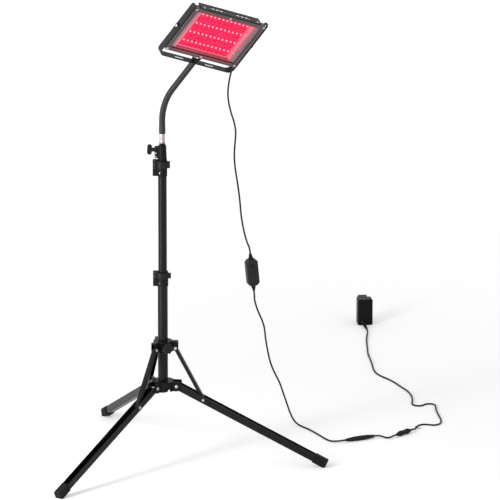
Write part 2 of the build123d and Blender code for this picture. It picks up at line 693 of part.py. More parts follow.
with BuildPart() as collar_knob:
    knob_start = COLLAR_BOSS_REACH + WASHER + SIDE_GAP
    with BuildSketch(radial_plane(knob_start, COLLAR_KNOB_AZIMUTH, COLLAR_KNOB_Z)):
        Circle(KNOB_R)
        with PolarLocations(KNOB_R + KNOB_SCALLOP_R / 2, KNOB_SCALLOPS):
            Circle(KNOB_SCALLOP_R, mode=Mode.SUBTRACT)
    extrude(amount=KNOB_DEPTH)
    chamfer(collar_knob.faces().sort_by(Axis((0, 0, 0), polar(1, COLLAR_KNOB_AZIMUTH)))[-1].edges(), 1.0)
    stem_start = LOWER_TUBE_R + SIDE_GAP
    with BuildSketch(radial_plane(stem_start, COLLAR_KNOB_AZIMUTH, COLLAR_KNOB_Z)):
        Circle(KNOB_STEM_R)
    extrude(amount=knob_start - stem_start)
save(collar_knob.part, "collar_knob")

# ------------------------------------------------------------------ tube locks


def lock_body(bottom, height, clamp_r, guide_r):
    """A moulded lock: the lower half grips the larger tube, the split upper half guides the smaller one."""
    outer_r = clamp_r + LOCK_WALL
    slit_z = bottom + LOCK_GRIP
    with BuildPart() as made:
        with BuildSketch(level_plane(bottom)):
            Circle(outer_r)
            with Locations((-EAR_REACH / 2, 0)):
                Rectangle(EAR_REACH, EAR_WIDTH)
        extrude(amount=height)
        fillet(made.edges().filter_by(Axis.Z).sort_by(Axis.X)[:2], EAR_CORNER)
        chamfer(made.faces().sort_by(Axis.Z)[-1].outer_wire().edges(), 0.5)
        with BuildSketch(level_plane(bottom)):
            Circle(clamp_r)
        extrude(amount=LOCK_GRIP, mode=Mode.SUBTRACT)
        with BuildSketch(level_plane(slit_z)):
            Circle(guide_r + SLIDE_GAP)
        extrude(amount=height - LOCK_GRIP, mode=Mode.SUBTRACT)
        with BuildSketch(level_plane(slit_z)):
            with Locations((-EAR_REACH, 0)):
                Rectangle(2 * (EAR_REACH - outer_r), 2 * EAR_WIDTH)
        extrude(amount=LOCK_SLIT, mode=Mode.SUBTRACT)
        with BuildSketch(level_plane(slit_z)):
            with Locations((-EAR_REACH / 2, 0)):
                Rectangle(EAR_REACH, LOCK_SLIT)
        extrude(amount=height - LOCK_GRIP, mode=Mode.SUBTRACT)
        with BuildSketch(Plane.XZ):
            with Locations((-BOLT_AT, (slit_z + LOCK_SLIT + bottom + height) / 2)):
                Circle(BOLT_R + PIN_GAP)
        extrude(amount=2 * EAR_WIDTH, both=True, mode=Mode.SUBTRACT)
        for side in (1, -1):
            with BuildSketch(radial_plane(0, -112 * side, bottom + LOCK_GRIP / 2)):
                Circle(LOCK_RIVET_R)
            extrude(amount=2 * outer_r, mode=Mode.SUBTRACT)
    return made.part


def lock_fasteners(bottom, height, clamp_r):
    """The bolt that pulls the ears together, the lever's pin through its eye, and the lock's two rivets."""
    slit_z = bottom + LOCK_GRIP + LOCK_SLIT
    middle = (slit_z + bottom + height) / 2
    tall = bottom + height - slit_z - 2 * LEVER_MARGIN
    eye_y = -EAR_WIDTH / 2 - SIDE_GAP - LEVER_HEAD_R
    with BuildPart() as made:
        with BuildSketch(Plane.XZ.offset(-EAR_WIDTH / 2)):
            with Locations((-BOLT_AT, middle)):
                RegularPolygon(BOLT_HEAD_R, 6)
        extrude(amount=-BOLT_HEAD)
        with BuildSketch(Plane.XZ.offset(-EAR_WIDTH / 2)):
            with Locations((-BOLT_AT, middle)):
                Circle(BOLT_R)
        extrude(amount=EAR_WIDTH / 2 - eye_y)
        for high, radius in (
            (LEVER_EYE, LEVER_EYE_R), (tall + 2 * SIDE_GAP, LEVER_PIN_R),
        ):
            with BuildSketch(level_plane(middle - high / 2)):
                with Locations((-BOLT_AT, eye_y)):
                    Circle(radius)
            extrude(amount=high)
        for side in (1, -1):
            with BuildSketch(level_plane(middle + side * (tall / 2 + SIDE_GAP))):
                with Locations((-BOLT_AT, eye_y)):
                    Circle(LEVER_PIN_HEAD_R)
            extrude(amount=side * LEVER_PIN_HEAD)
            azimuth = side * LOCK_RIVET_AZIMUTH
            with BuildSketch(radial_plane(clamp_r, azimuth, bottom + LOCK_GRIP / 2)):
                Circle(LOCK_RIVET_R)
            extrude(amount=LOCK_WALL)
            with BuildSketch(radial_plane(clamp_r + LOCK_WALL, azimuth, bottom + LOCK_GRIP / 2)):
                Circle(LOCK_RIVET_HEAD_R)
            extrude(amount=RIVET_HEAD, taper=RIVET_TAPER)
    return made.part


def lock_lever(bottom, height, clamp_r):
    """A flip lever that wraps round the front of its lock, with a finger tip at its free end."""
    slit_z = bottom + LOCK_GRIP + LOCK_SLIT
    middle = (slit_z + bottom + height) / 2
    tall = bottom + height - slit_z - 2 * LEVER_MARGIN
    pivot = Vector(-BOLT_AT, -EAR_WIDTH / 2 - SIDE_GAP - LEVER_HEAD_R)
    band_r = clamp_r + LOCK_WALL + SIDE_GAP + LEVER_THICK / 2
    start, end = polar(band_r, LEVER_START), polar(band_r, LEVER_END)
    tip = end + polar(LEVER_TIP, LEVER_END + LEVER_TIP_TURN)
    with BuildPart() as made:
        with BuildSketch(level_plane(middle - tall / 2)):
            add(link(pivot, LEVER_HEAD_R, start, LEVER_THICK / 2))
            SlotArc(CenterArc((0, 0), band_r, LEVER_START, LEVER_END - LEVER_START, mode=Mode.PRIVATE), LEVER_THICK)
            add(link(end, LEVER_THICK / 2, tip, LEVER_TIP_R))
        extrude(amount=tall)
        with BuildSketch(level_plane(middle - LEVER_EYE / 2 - SIDE_GAP)):
            with Locations(pivot):
                Circle(LEVER_HEAD_R + SIDE_GAP)
        extrude(amount=LEVER_EYE + 2 * SIDE_GAP, mode=Mode.SUBTRACT)
        with BuildSketch(level_plane(middle - tall / 2)):
            with Locations(pivot):
                Circle(LEVER_PIN_R + PIN_GAP)
        extrude(amount=tall, mode=Mode.SUBTRACT)
    return made.part


for name, bottom, height, clamp_r, guide_r in (
    ("lower", LOWER_LOCK_BOTTOM, LOWER_LOCK_HEIGHT, LOWER_TUBE_R, MIDDLE_TUBE_R),
    ("upper", UPPER_LOCK_BOTTOM, UPPER_LOCK_HEIGHT, MIDDLE_TUBE_R, TOP_TUBE_R),
):
    save(lock_body(bottom, height, clamp_r, guide_r), f"{name}_lock_body")
    save(lock_fasteners(bottom, height, clamp_r), f"{name}_lock_fasteners")
    save(lock_lever(bottom, height, clamp_r), f"{name}_lock_lever")

# ------------------------------------------------------------------ spigot socket

KNOB_FACE_R = SOCKET_RIB_REACH + SIDE_GAP

with BuildPart() as spigot_socket:
    with BuildSketch(side_plane(0)):
        with BuildLine():
            Polyline(
                (0, SOCKET_BOTTOM), (SOCKET_R, SOCKET_BOTTOM), (SOCKET_SHOULDER_R, SOCKET_TOP - SOCKET_RIM),
                (SOCKET_RIM_R, SOCKET_TOP - SOCKET_RIM), (SOCKET_RIM_R, SOCKET_TOP), (0, SOCKET_TOP), close=True,
            )
        make_face()
    revolve(axis=Axis.Z)
    with BuildSketch(level_plane(SOCKET_RIB_Z - SOCKET_RIB_HEIGHT / 2)):
        with Locations((-SOCKET_RIB_REACH / 2, 0)):
            Rectangle(SOCKET_RIB_REACH, SOCKET_RIB_WIDTH)
    extrude(amount=SOCKET_RIB_HEIGHT)
    fillet(spigot_socket.faces().sort_by(Axis.X)[0].edges(), SOCKET_RIB_EDGE)
    with BuildSketch(level_plane(SOCKET_BOTTOM)):
        Circle(TOP_TUBE_R)
    extrude(amount=SOCKET_GRIP, mode=Mode.SUBTRACT)
    with BuildSketch(level_plane(SOCKET_BOTTOM)):
        Circle(STEM_R + PIN_GAP)
    extrude(amount=SOCKET_TOP - SOCKET_BOTTOM, mode=Mode.SUBTRACT)
    with BuildSketch(level_plane(SOCKET_RIB_Z - SOCKET_RIB_HEIGHT)):
        with Locations((-SOCKET_RIB_REACH, 0)):
            Rectangle(2 * (SOCKET_RIB_REACH - SOCKET_R), LOCK_SLIT)
    extrude(amount=2 * SOCKET_RIB_HEIGHT, mode=Mode.SUBTRACT)
    with BuildSketch(radial_plane(0, 180, WING_KNOB_Z)):
        Circle(WING_SCREW_R + PIN_GAP)
    extrude(amount=2 * SOCKET_RIB_REACH, mode=Mode.SUBTRACT)
    with BuildSketch(Plane.XZ):
        with Locations(*SOCKET_SCREWS):
            Circle(SOCKET_SCREW_R)
    extrude(amount=SOCKET_RIB_WIDTH, both=True, mode=Mode.SUBTRACT)
save(spigot_socket.part, "spigot_socket")

with BuildPart() as socket_screws:
    with BuildSketch(Plane.XZ.offset(-SOCKET_RIB_WIDTH / 2)):
        with Locations(*SOCKET_SCREWS):
            Circle(SOCKET_SCREW_R)
    extrude(amount=SOCKET_RIB_WIDTH)
    with BuildSketch(Plane.XZ.offset(SOCKET_RIB_WIDTH / 2)):
        with Locations(*SOCKET_SCREWS):
            Circle(SOCKET_SCREW_HEAD_R)
    extrude(amount=SOCKET_SCREW_HEAD)
    with BuildSketch(Plane.XZ.offset(-SOCKET_RIB_WIDTH / 2)):
        with Locations(*SOCKET_SCREWS):
            RegularPolygon(SOCKET_SCREW_HEAD_R, 6)
    extrude(amount=-SOCKET_SCREW_HEAD)
save(socket_screws.part, "socket_screws")

wing_rise = Vector(0, sin(radians(WING_TILT)), cos(radians(WING_TILT)))
wing_plane = Plane(origin=polar(WING_BAR_AT, 180, WING_KNOB_Z), x_dir=wing_rise, z_dir=polar(1, 180).cross(wing_rise))
with BuildPart() as wing_knob:
    with BuildSketch(radial_plane(KNOB_FACE_R, 180, WING_KNOB_Z)):
        Circle(WING_HUB_R)
    extrude(amount=WING_BAR_AT - KNOB_FACE_R)
    with BuildSketch(wing_plane):
        SlotOverall(WING_BAR_LENGTH, 2 * WING_BAR_R)
    extrude(amount=WING_BAR / 2, both=True)
    screw_start = STEM_R + SIDE_GAP
    with BuildSketch(radial_plane(screw_start, 180, WING_KNOB_Z)):
        Circle(WING_SCREW_R)
    extrude(amount=KNOB_FACE_R - screw_start)
save(wing_knob.part, "wing_knob")

# ------------------------------------------------------------------ spigot and neck

with BuildPart() as spigot:
    with BuildSketch(level_plane(STEM_BOTTOM)):
        Circle(STEM_R)
    extrude(amount=SPIGOT_BOTTOM - STEM_BOTTOM)
    with BuildSketch(level_plane(SPIGOT_BOTTOM)):
        Circle(SPIGOT_R)
    extrude(amount=SPIGOT_TOP - SPIGOT_BOTTOM)
    with BuildSketch(level_plane(SPIGOT_TOP)):
        Circle(FERRULE_R)
    extrude(amount=FERRULE_TOP - SPIGOT_TOP)
    chamfer(spigot.faces().sort_by(Axis.Z)[0].edges(), 0.6)
    with BuildSketch(level_plane(FERRULE_TOP - NECK_STUD)):
        Circle(NECK_STUD_R)
    extrude(amount=NECK_STUD, mode=Mode.SUBTRACT)
save(spigot.part, "spigot")


def neck_piece(start, way, end, cup, ball, stud):
    """One stiff length of the neck: a cup over the ball below it, and a ball or a stud at its upper end."""
    length = (end - start).length
    plane = Plane(origin=start, x_dir=way.cross(Vector(0, 1, 0)), z_dir=way)
    with BuildPart() as made:
        with BuildSketch(plane):
            Circle(NECK_R)
        extrude(amount=length)
        if ball:
            with Locations(Location(end)):
                Sphere(NECK_R)
        if cup:
            with Locations(Location(start)):
                Sphere(NECK_R + NECK_CUP_GAP, mode=Mode.SUBTRACT)
        if stud:
            with BuildSketch(plane.offset(length)):
                Circle(NECK_STUD_R)
            extrude(amount=NECK_STUD)
    return made.part


with BuildPart() as neck_base:
    add(neck_piece(Vector(0, 0, FERRULE_TOP), Vector(0, 0, 1), NECK_PIVOTS[0][0], False, True, False))
    with BuildSketch(level_plane(FERRULE_TOP)):
        Circle(NECK_STUD_R)
    extrude(amount=-NECK_STUD)
save(neck_base.part, "neck_base")
for number in range(1, NECK_LINKS):
    start, way = NECK_PIVOTS[number - 1]
    save(neck_piece(start, way, NECK_PIVOTS[number][0], True, True, False), f"neck_link_{number}")
start, way = NECK_PIVOTS[-1]
save(neck_piece(start, way, NECK_END, True, False, True), "neck_top")

# ------------------------------------------------------------------ bracket

with BuildPart() as bracket:
    with BuildSketch(PANEL) as profile:
        with Locations((0, (BASE_BOTTOM + BRACKET_ARM_TOP) / 2)):
            Rectangle(2 * ARM_OUT, BRACKET_ARM_TOP - BASE_BOTTOM)
        fillet(profile.vertices().group_by(Axis.Y)[0], BRACKET_BEND)
    extrude(amount=BRACKET_WIDTH / 2, both=True)
    with BuildSketch(PANEL) as hollow:
        with Locations((0, (BASE_TOP + BRACKET_ARM_TOP) / 2 + BRACKET_SHEET)):
            Rectangle(2 * ARM_IN, BRACKET_ARM_TOP - BASE_TOP + 2 * BRACKET_SHEET)
        fillet(hollow.vertices().group_by(Axis.Y)[0], BRACKET_BEND - BRACKET_SHEET)
    extrude(amount=BRACKET_WIDTH, both=True, mode=Mode.SUBTRACT)
    with BuildSketch(panel_side(-ARM_OUT)):
        with Locations((0, BRACKET_ARM_TOP - BRACKET_WIDTH / 2)):
            Circle(BRACKET_WIDTH / 2)
        with Locations((0, (BASE_BOTTOM + BRACKET_ARM_TOP - BRACKET_WIDTH / 2) / 2)):
            Rectangle(BRACKET_WIDTH, BRACKET_ARM_TOP - BRACKET_WIDTH / 2 - BASE_BOTTOM)
    extrude(amount=2 * ARM_OUT, mode=Mode.INTERSECT)
    with BuildSketch(panel_side(-ARM_OUT)):
        with Locations((0, BRACKET_ARM_TOP - BRACKET_WIDTH / 2)):
            Circle(BRACKET_END_HOLE_R)
        Circle(TILT_BOLT_R + PIN_GAP)
    extrude(amount=2 * ARM_OUT, mode=Mode.SUBTRACT)
    with BuildSketch(panel_level(BASE_BOTTOM)):
        Circle(NECK_STUD_R + PIN_GAP)
        with Locations((BRACKET_SLOT_AT, 0), (-BRACKET_SLOT_AT, 0)):
            SlotOverall(BRACKET_SLOT, BRACKET_SLOT_WIDTH)
    extrude(amount=BRACKET_SHEET, mode=Mode.SUBTRACT)
save(bracket.part, "bracket")

with BuildPart() as bracket_wing_nut:
    with BuildSketch(panel_level(BASE_TOP + SIDE_GAP)):
        Circle(WING_NUT_R)
    extrude(amount=WING_NUT_HEIGHT - SIDE_GAP, taper=6)
    for side in (1, -1):
        inner, outer = side * WING_NUT_R * 0.5, side * WING_NUT_SPAN / 2
        with BuildSketch(Plane(origin=PANEL.origin, x_dir=PANEL.x_dir, z_dir=PANEL.z_dir)):
            with BuildLine():
                Polyline(
                    (inner, BASE_TOP + SIDE_GAP), (outer * 0.75, BASE_TOP + WING_NUT_WING),
                    (outer, BASE_TOP + WING_NUT_HEIGHT + WING_NUT_RISE),
                    (outer * 0.7, BASE_TOP + WING_NUT_HEIGHT + WING_NUT_RISE),
                    (inner, BASE_TOP + WING_NUT_HEIGHT), close=True,
                )
            make_face()
        extrude(amount=WING_NUT_WING / 2, both=True)
    with BuildSketch(panel_level(BASE_TOP)):
        Circle(NECK_STUD_R + PIN_GAP)
    extrude(amount=2 * WING_NUT_HEIGHT, mode=Mode.SUBTRACT)
save(bracket_wing_nut.part, "bracket_wing_nut")

with BuildPart() as tilt_bolts:
    for side in (1, -1):
        for start, end, radius in (
            (PANEL_WIDTH / 2 - TILT_BOLT_BITE, ARM_OUT + SIDE_GAP, TILT_BOLT_R),
            (PANEL_WIDTH / 2, ARM_IN - SIDE_GAP, SPACER_R),
            (ARM_OUT + SIDE_GAP, ARM_OUT + SIDE_GAP + TILT_BOLT_HEAD, TILT_BOLT_HEAD_R),
        ):
            with BuildSketch(panel_side(side * start, side)):
                Circle(radius)
            extrude(amount=end - start)
save(tilt_bolts.part, "tilt_bolts")

# ------------------------------------------------------------------ panel

with BuildPart() as panel_frame:
    with BuildSketch(PANEL.offset(FRAME_BACK)):
        RectangleRounded(PANEL_WIDTH, PANEL_HEIGHT, PANEL_CORNER)
    extrude(amount=FRAME_DEPTH)
    fillet(panel_frame.faces().sort_by(Axis(PANEL.origin, PANEL.z_dir))[-1].edges(), FRAME_EDGE)
    with BuildSketch(PANEL.offset(FRAME_BACK)):
        Rectangle(PANEL_WIDTH - 2 * FRAME_LIP, PANEL_HEIGHT - 2 * FRAME_LIP)
    extrude(amount=FRAME_DEPTH, mode=Mode.SUBTRACT)
    with BuildSketch(PANEL.offset(FRAME_BACK)):
        Rectangle(POCKET_WIDTH, POCKET_HEIGHT)
    extrude(amount=FRAME_DEPTH - FRAME_LIP_DEPTH, mode=Mode.SUBTRACT)
    for side in (1, -1):
        with BuildSketch(panel_side(side * (PANEL_WIDTH / 2 - TILT_BOLT_BITE), side)):
            Circle(TILT_BOLT_R)
        extrude(amount=TILT_BOLT_BITE, mode=Mode.SUBTRACT)
    with BuildSketch(PANEL.offset(PIVOT_TO_FRONT)):
        with Locations(*FRAME_SCREWS):
            Circle(FRAME_SCREW_R)
    extrude(amount=-FRAME_SCREW_BITE, mode=Mode.SUBTRACT)
    with BuildSketch(panel_level(PANEL_HEIGHT / 2)):
        with Locations((RAIL_SCREW_AT, -RAIL_SCREW_Z), (-RAIL_SCREW_AT, -RAIL_SCREW_Z)):
            Circle(FRAME_SCREW_R)
    extrude(amount=-RAIL_SCREW_BITE, mode=Mode.SUBTRACT)
save(panel_frame.part, "panel_frame")

with BuildPart() as panel_screws:
    with BuildSketch(PANEL.offset(PIVOT_TO_FRONT)):
        with Locations(*FRAME_SCREWS):
            Circle(FRAME_SCREW_HEAD_R)
    extrude(amount=FRAME_SCREW_HEAD, taper=RIVET_TAPER)
    with BuildSketch(PANEL.offset(PIVOT_TO_FRONT)):
        with Locations(*FRAME_SCREWS):
            Circle(FRAME_SCREW_R)
    extrude(amount=-FRAME_SCREW_BITE)
    with BuildSketch(panel_level(PANEL_HEIGHT / 2 + RAIL_SHEET)):
        with Locations((RAIL_SCREW_AT, -RAIL_SCREW_Z), (-RAIL_SCREW_AT, -RAIL_SCREW_Z)):
            Circle(FRAME_SCREW_HEAD_R)
    extrude(amount=FRAME_SCREW_HEAD, taper=RIVET_TAPER)
    with BuildSketch(panel_level(PANEL_HEIGHT / 2 + RAIL_SHEET)):
        with Locations((RAIL_SCREW_AT, -RAIL_SCREW_Z), (-RAIL_SCREW_AT, -RAIL_SCREW_Z)):
            Circle(FRAME_SCREW_R)
    extrude(amount=-RAIL_SHEET - RAIL_SCREW_BITE)
save(panel_screws.part, "panel_screws")

with BuildPart() as glass:
    with BuildSketch(PANEL.offset(GLASS_BACK)):
        RectangleRounded(POCKET_WIDTH - 2 * POCKET_PLAY, POCKET_HEIGHT - 2 * POCKET_PLAY, POCKET_CORNER)
    extrude(amount=GLASS)
save(glass.part, "glass")


def pan_solid(grow, front, back):
    """The space inside the pan, grown on every side, as a solid that narrows from front to back."""
    with BuildPart() as made:
        for place, narrow in ((front, 0), (back, PAN_SLOPE)):
            with BuildSketch(PANEL.offset(place)):
                RectangleRounded(
                    PAN_WIDTH - 2 * narrow + 2 * grow, PAN_HEIGHT - 2 * narrow + 2 * grow, PAN_CORNER + grow
                )
        loft()
    return made.part


with BuildPart() as reflector_pan:
    with BuildSketch(PANEL.offset(PAN_FRONT)):
        RectangleRounded(POCKET_WIDTH - 2 * POCKET_PLAY, POCKET_HEIGHT - 2 * POCKET_PLAY, POCKET_CORNER)
    extrude(amount=-PAN_SHEET)
    add(pan_solid(PAN_SHEET, PAN_FRONT, PAN_FLOOR))
    add(pan_solid(0, PAN_FRONT, PAN_FLOOR), mode=Mode.SUBTRACT)
save(reflector_pan.part, "reflector_pan")

BOARD_WIDTH = PAN_WIDTH - 2 * PAN_SLOPE + 2 * PAN_SHEET
BOARD_HEIGHT = PAN_HEIGHT - 2 * PAN_SLOPE + 2 * PAN_SHEET

with BuildPart() as led_board:
    with BuildSketch(PANEL.offset(PAN_FLOOR)):
        RectangleRounded(BOARD_WIDTH, BOARD_HEIGHT, PAN_CORNER)
    extrude(amount=-BOARD)
save(led_board.part, "led_board")

with BuildPart() as leds:
    with BuildSketch(PANEL.offset(PAN_FLOOR)):
        with GridLocations(LED_PITCH_X, LED_PITCH_Y, LED_COLUMNS, LED_ROWS):
            Circle(LED_R)
    extrude(amount=LED_HEIGHT)
    chamfer(leds.faces().filter_by(PANEL).group_by(Axis(PANEL.origin, PANEL.z_dir))[-1].edges(), LED_CHAMFER)
save(leds.part, "led_array")


def tray_solid(shrink, front, back):
    """The back of the housing as a solid that narrows from front to back, shrunk on every side."""
    with BuildPart() as made:
        for place, narrow in ((front, 0), (back, TRAY_SLOPE)):
            inset = TRAY_INSET + narrow + shrink
            with BuildSketch(PANEL.offset(place)):
                RectangleRounded(PANEL_WIDTH - 2 * inset, PANEL_HEIGHT - 2 * inset, PANEL_CORNER)
        loft()
    return made.part


with BuildPart() as rear_housing:
    with BuildSketch(PANEL.offset(TRAY_FRONT)):
        RectangleRounded(POCKET_WIDTH - 2 * POCKET_PLAY, POCKET_HEIGHT - 2 * POCKET_PLAY, POCKET_CORNER)
    extrude(amount=FRAME_BACK - TRAY_FRONT)
    with BuildSketch(PANEL.offset(FRAME_BACK)):
        RectangleRounded(PANEL_WIDTH - 2 * TRAY_INSET, PANEL_HEIGHT - 2 * TRAY_INSET, PANEL_CORNER)
    extrude(amount=-TRAY_RIM)
    add(tray_solid(0, TRAY_STEP, TRAY_BACK))
    with BuildSketch(PANEL.offset(TRAY_BACK)) as fin_lines:
        with GridLocations((PANEL_WIDTH - 2 * (TRAY_INSET + TRAY_SLOPE + FIN_MARGIN)) / FINS, 0, FINS, 1):
            Rectangle(FIN, PANEL_HEIGHT - 2 * (TRAY_INSET + TRAY_SLOPE + FIN_MARGIN))
        with Locations((BOX_RIGHT - BOX_WIDTH / 2, BOX_TOP - BOX_HEIGHT / 2)):
            Rectangle(BOX_WIDTH + 2 * FIN_MARGIN, BOX_HEIGHT + 2 * FIN_MARGIN, mode=Mode.SUBTRACT)
        with Locations((BOX_RIGHT + PANEL_WIDTH / 4, GLAND_Y + GLAND_HEX_R + FIN_MARGIN - PANEL_HEIGHT / 2)):
            Rectangle(PANEL_WIDTH / 2, PANEL_HEIGHT, mode=Mode.SUBTRACT)
    extrude(amount=-FIN_HEIGHT)
    with BuildSketch(PANEL.offset(TRAY_FRONT)):
        RectangleRounded(
            POCKET_WIDTH - 2 * POCKET_PLAY - 2 * TRAY_WALL, POCKET_HEIGHT - 2 * POCKET_PLAY - 2 * TRAY_WALL, POCKET_CORNER
        )
    extrude(amount=TRAY_BACK + TRAY_WALL - TRAY_FRONT, mode=Mode.SUBTRACT)
save(rear_housing.part, "rear_housing")

with BuildPart() as terminal_box:
    with BuildSketch(PANEL.offset(TRAY_BACK)):
        with Locations((BOX_RIGHT - BOX_WIDTH / 2, BOX_TOP - BOX_HEIGHT / 2)):
            RectangleRounded(BOX_WIDTH, BOX_HEIGHT, BOX_CORNER)
    extrude(amount=-BOX_DEPTH)
    fillet(terminal_box.faces().sort_by(Axis(PANEL.origin, PANEL.z_dir))[0].edges(), BOX_EDGE)
save(terminal_box.part, "terminal_box")

with BuildPart() as cord_gland:
    gland_plane = panel_side(BOX_RIGHT)
    with BuildSketch(gland_plane):
        with Locations((-GLAND_Z, GLAND_Y)):
            RegularPolygon(GLAND_HEX_R, 6)
    extrude(amount=GLAND_HEX)
    with BuildSketch(gland_plane.offset(GLAND_HEX)):
        with Locations((-GLAND_Z, GLAND_Y)):
            Circle(GLAND_NUT_R)
    extrude(amount=GLAND_NUT)
    for place, radius in ((GLAND_HEX + GLAND_NUT, GLAND_NUT_R), (GLAND_LENGTH, TIP_R)):
        with BuildSketch(gland_plane.offset(place)):
            with Locations((-GLAND_Z, GLAND_Y)):
                Circle(radius)
    loft()
save(cord_gland.part, "cord_gland")

with BuildPart() as top_rail:
    with BuildSketch(panel_level(PANEL_HEIGHT / 2)):
        with Locations((0, -RAIL_Z)):
            RectangleRounded(RAIL_LENGTH, RAIL_WIDTH, RAIL_CORNER)
            with Locations((RAIL_SLOT_AT, 0), (-RAIL_SLOT_AT, 0)):
                SlotOverall(RAIL_SLOT, RAIL_SLOT_WIDTH, mode=Mode.SUBTRACT)
            Circle(RAIL_SLOT_WIDTH / 2, mode=Mode.SUBTRACT)
        with Locations((RAIL_SCREW_AT, -RAIL_SCREW_Z), (-RAIL_SCREW_AT, -RAIL_SCREW_Z)):
            Circle(FRAME_SCREW_R, mode=Mode.SUBTRACT)
    extrude(amount=RAIL_SHEET)
save(top_rail.part, "top_rail")

# ------------------------------------------------------------------ in-line controller

controller_up = Vector(*CONTROLLER_AXIS).normalized()
controller_out = Vector(*CONTROLLER_FACES)
controller_out = (controller_out - controller_up * controller_out.dot(controller_up)).normalized()
CONTROLLER = Plane(
    origin=CONTROLLER_AT, x_dir=controller_up.cross(controller_out), z_dir=controller_out
)


def controller_outline(inset):
    """The controller's outline in its own frame: x across, y along the cord."""
    half, end, length = (
        CONTROLLER_WIDTH / 2 - inset, CONTROLLER_NECK / 2 - inset, CONTROLLER_LENGTH / 2 - inset
    )
    shoulder = CONTROLLER_LENGTH / 2 - CONTROLLER_SHOULDER
    with BuildSketch(mode=Mode.PRIVATE) as outline:
        with BuildLine():
            Polyline(
                (end, length), (half, shoulder), (half, -shoulder), (end, -length),
                (-end, -length), (-half, -shoulder), (-half, shoulder), (-end, length), close=True,
            )
        make_face()
        fillet(outline.vertices(), CONTROLLER_CORNER)
    return outline.sketch


for name, side in (("front", 1), ("back", -1)):
    with BuildPart() as shell:
        with BuildSketch(CONTROLLER):
            add(controller_outline(0))
        extrude(amount=side * CONTROLLER_THICK / 2)
        fillet(shell.faces().sort_by(Axis(CONTROLLER.origin, CONTROLLER.z_dir * side))[-1].edges(), CONTROLLER_EDGE)
        with BuildSketch(CONTROLLER):
            add(controller_outline(SHELL_WALL))
        extrude(amount=side * (CONTROLLER_THICK / 2 - SHELL_WALL), mode=Mode.SUBTRACT)
        if side == 1:
            with BuildSketch(CONTROLLER):
                with Locations(BUTTON_AT):
                    Circle(BUTTON_R + BUTTON_GAP)
            extrude(amount=CONTROLLER_THICK, mode=Mode.SUBTRACT)
    save(shell.part, f"controller_{name}_shell")

with BuildPart() as controller_button:
    with BuildSketch(CONTROLLER.offset(CONTROLLER_THICK / 2 + BUTTON_PROUD)):
        with Locations(BUTTON_AT):
            Circle(BUTTON_R)
    extrude(amount=-BUTTON_PROUD - SHELL_WALL - SIDE_GAP)
    chamfer(controller_button.faces().sort_by(Axis(CONTROLLER.origin, CONTROLLER.z_dir))[-1].edges(), 0.5)
    with BuildSketch(CONTROLLER.offset(CONTROLLER_THICK / 2 - SHELL_WALL - SIDE_GAP)):
        with Locations(BUTTON_AT):
            Circle(BUTTON_FLANGE_R)
    extrude(amount=-BUTTON_FLANGE)
save(controller_button.part, "controller_button")

with BuildPart() as controller_reliefs:
    for side in (1, -1):
        relief_plane = Plane(
            origin=CONTROLLER.origin + CONTROLLER.y_dir * (side * CONTROLLER_LENGTH / 2),
            x_dir=CONTROLLER.x_dir, z_dir=CONTROLLER.y_dir * side,
        )
        for place, radius in ((0, RELIEF_R), (RELIEF, TIP_R)):
            with BuildSketch(relief_plane.offset(place)):
                Circle(radius)
        loft()
save(controller_reliefs.part, "controller_reliefs")

# ------------------------------------------------------------------ splice, connectors and tie

SPLICE_START = Vector(*SPLICE_FROM, SPLICE_R)
SPLICE_END = Vector(*SPLICE_TO, SPLICE_R)
splice_way = (SPLICE_END - SPLICE_START).normalized()
splice_length = (SPLICE_END - SPLICE_START).length
with BuildPart() as splice_sleeve:
    splice_side = Vector(0, 0, 1).cross(splice_way)
    with BuildSketch(Plane(origin=SPLICE_START, x_dir=splice_way, z_dir=splice_side.cross(splice_way) * -1)):
        with BuildLine():
            Polyline((0, 0), (0, TIP_R))
            Spline((0, TIP_R), (splice_length / 2, SPLICE_R), (splice_length, TIP_R), tangents=((1, 0.2), (1, -0.2)))
            Polyline((splice_length, TIP_R), (splice_length, 0), (0, 0))
        make_face()
    revolve(axis=Axis(SPLICE_START, splice_way))
save(splice_sleeve.part, "splice_sleeve")

CONNECTOR_START = Vector(*CONNECTOR_FROM, CONNECTOR_R)
CONNECTOR_END = Vector(*CONNECTOR_TO, CONNECTOR_R)
connector_way = (CONNECTOR_END - CONNECTOR_START).normalized()
connector_length = (CONNECTOR_END - CONNECTOR_START).length
CONNECTOR = Plane(origin=CONNECTOR_START, x_dir=connector_way.cross(Vector(0, 0, 1)), z_dir=connector_way)
JOIN = connector_length * CONNECTOR_SPLIT


def connector_half(start, end, way):
    """One moulded half: a tapered cord end, a plain barrel and three grip ribs."""
    with BuildPart() as made:
        for place, radius in ((start, TIP_R), (start + way * CONNECTOR_TAPER, CONNECTOR_R - CONNECTOR_RIB)):
            with BuildSketch(CONNECTOR.offset(place)):
                Circle(radius)
        loft()
        with BuildSketch(CONNECTOR.offset(start + way * CONNECTOR_TAPER)):
            Circle(CONNECTOR_R - CONNECTOR_RIB)
        extrude(amount=end - start - way * CONNECTOR_TAPER)
        for number in range(CONNECTOR_RIBS):
            place = start + way * (CONNECTOR_TAPER + (2 * number + 1) * CONNECTOR_RIB_WIDTH)
            with BuildSketch(CONNECTOR.offset(place)):
                Circle(CONNECTOR_R)
            extrude(amount=way * CONNECTOR_RIB_WIDTH)
    return made.part


with BuildPart() as power_plug:
    add(connector_half(0, JOIN, 1))
    with BuildSketch(CONNECTOR.offset(JOIN)):
        Circle(DC_PIN_R)
    extrude(amount=DC_PIN)
save(power_plug.part, "power_plug")

with BuildPart() as power_socket:
    add(connector_half(connector_length, JOIN, -1))
    with BuildSketch(CONNECTOR.offset(JOIN)):
        Circle(DC_PIN_R + PIN_GAP)
    extrude(amount=DC_PIN + SIDE_GAP, mode=Mode.SUBTRACT)
save(power_socket.part, "power_socket")

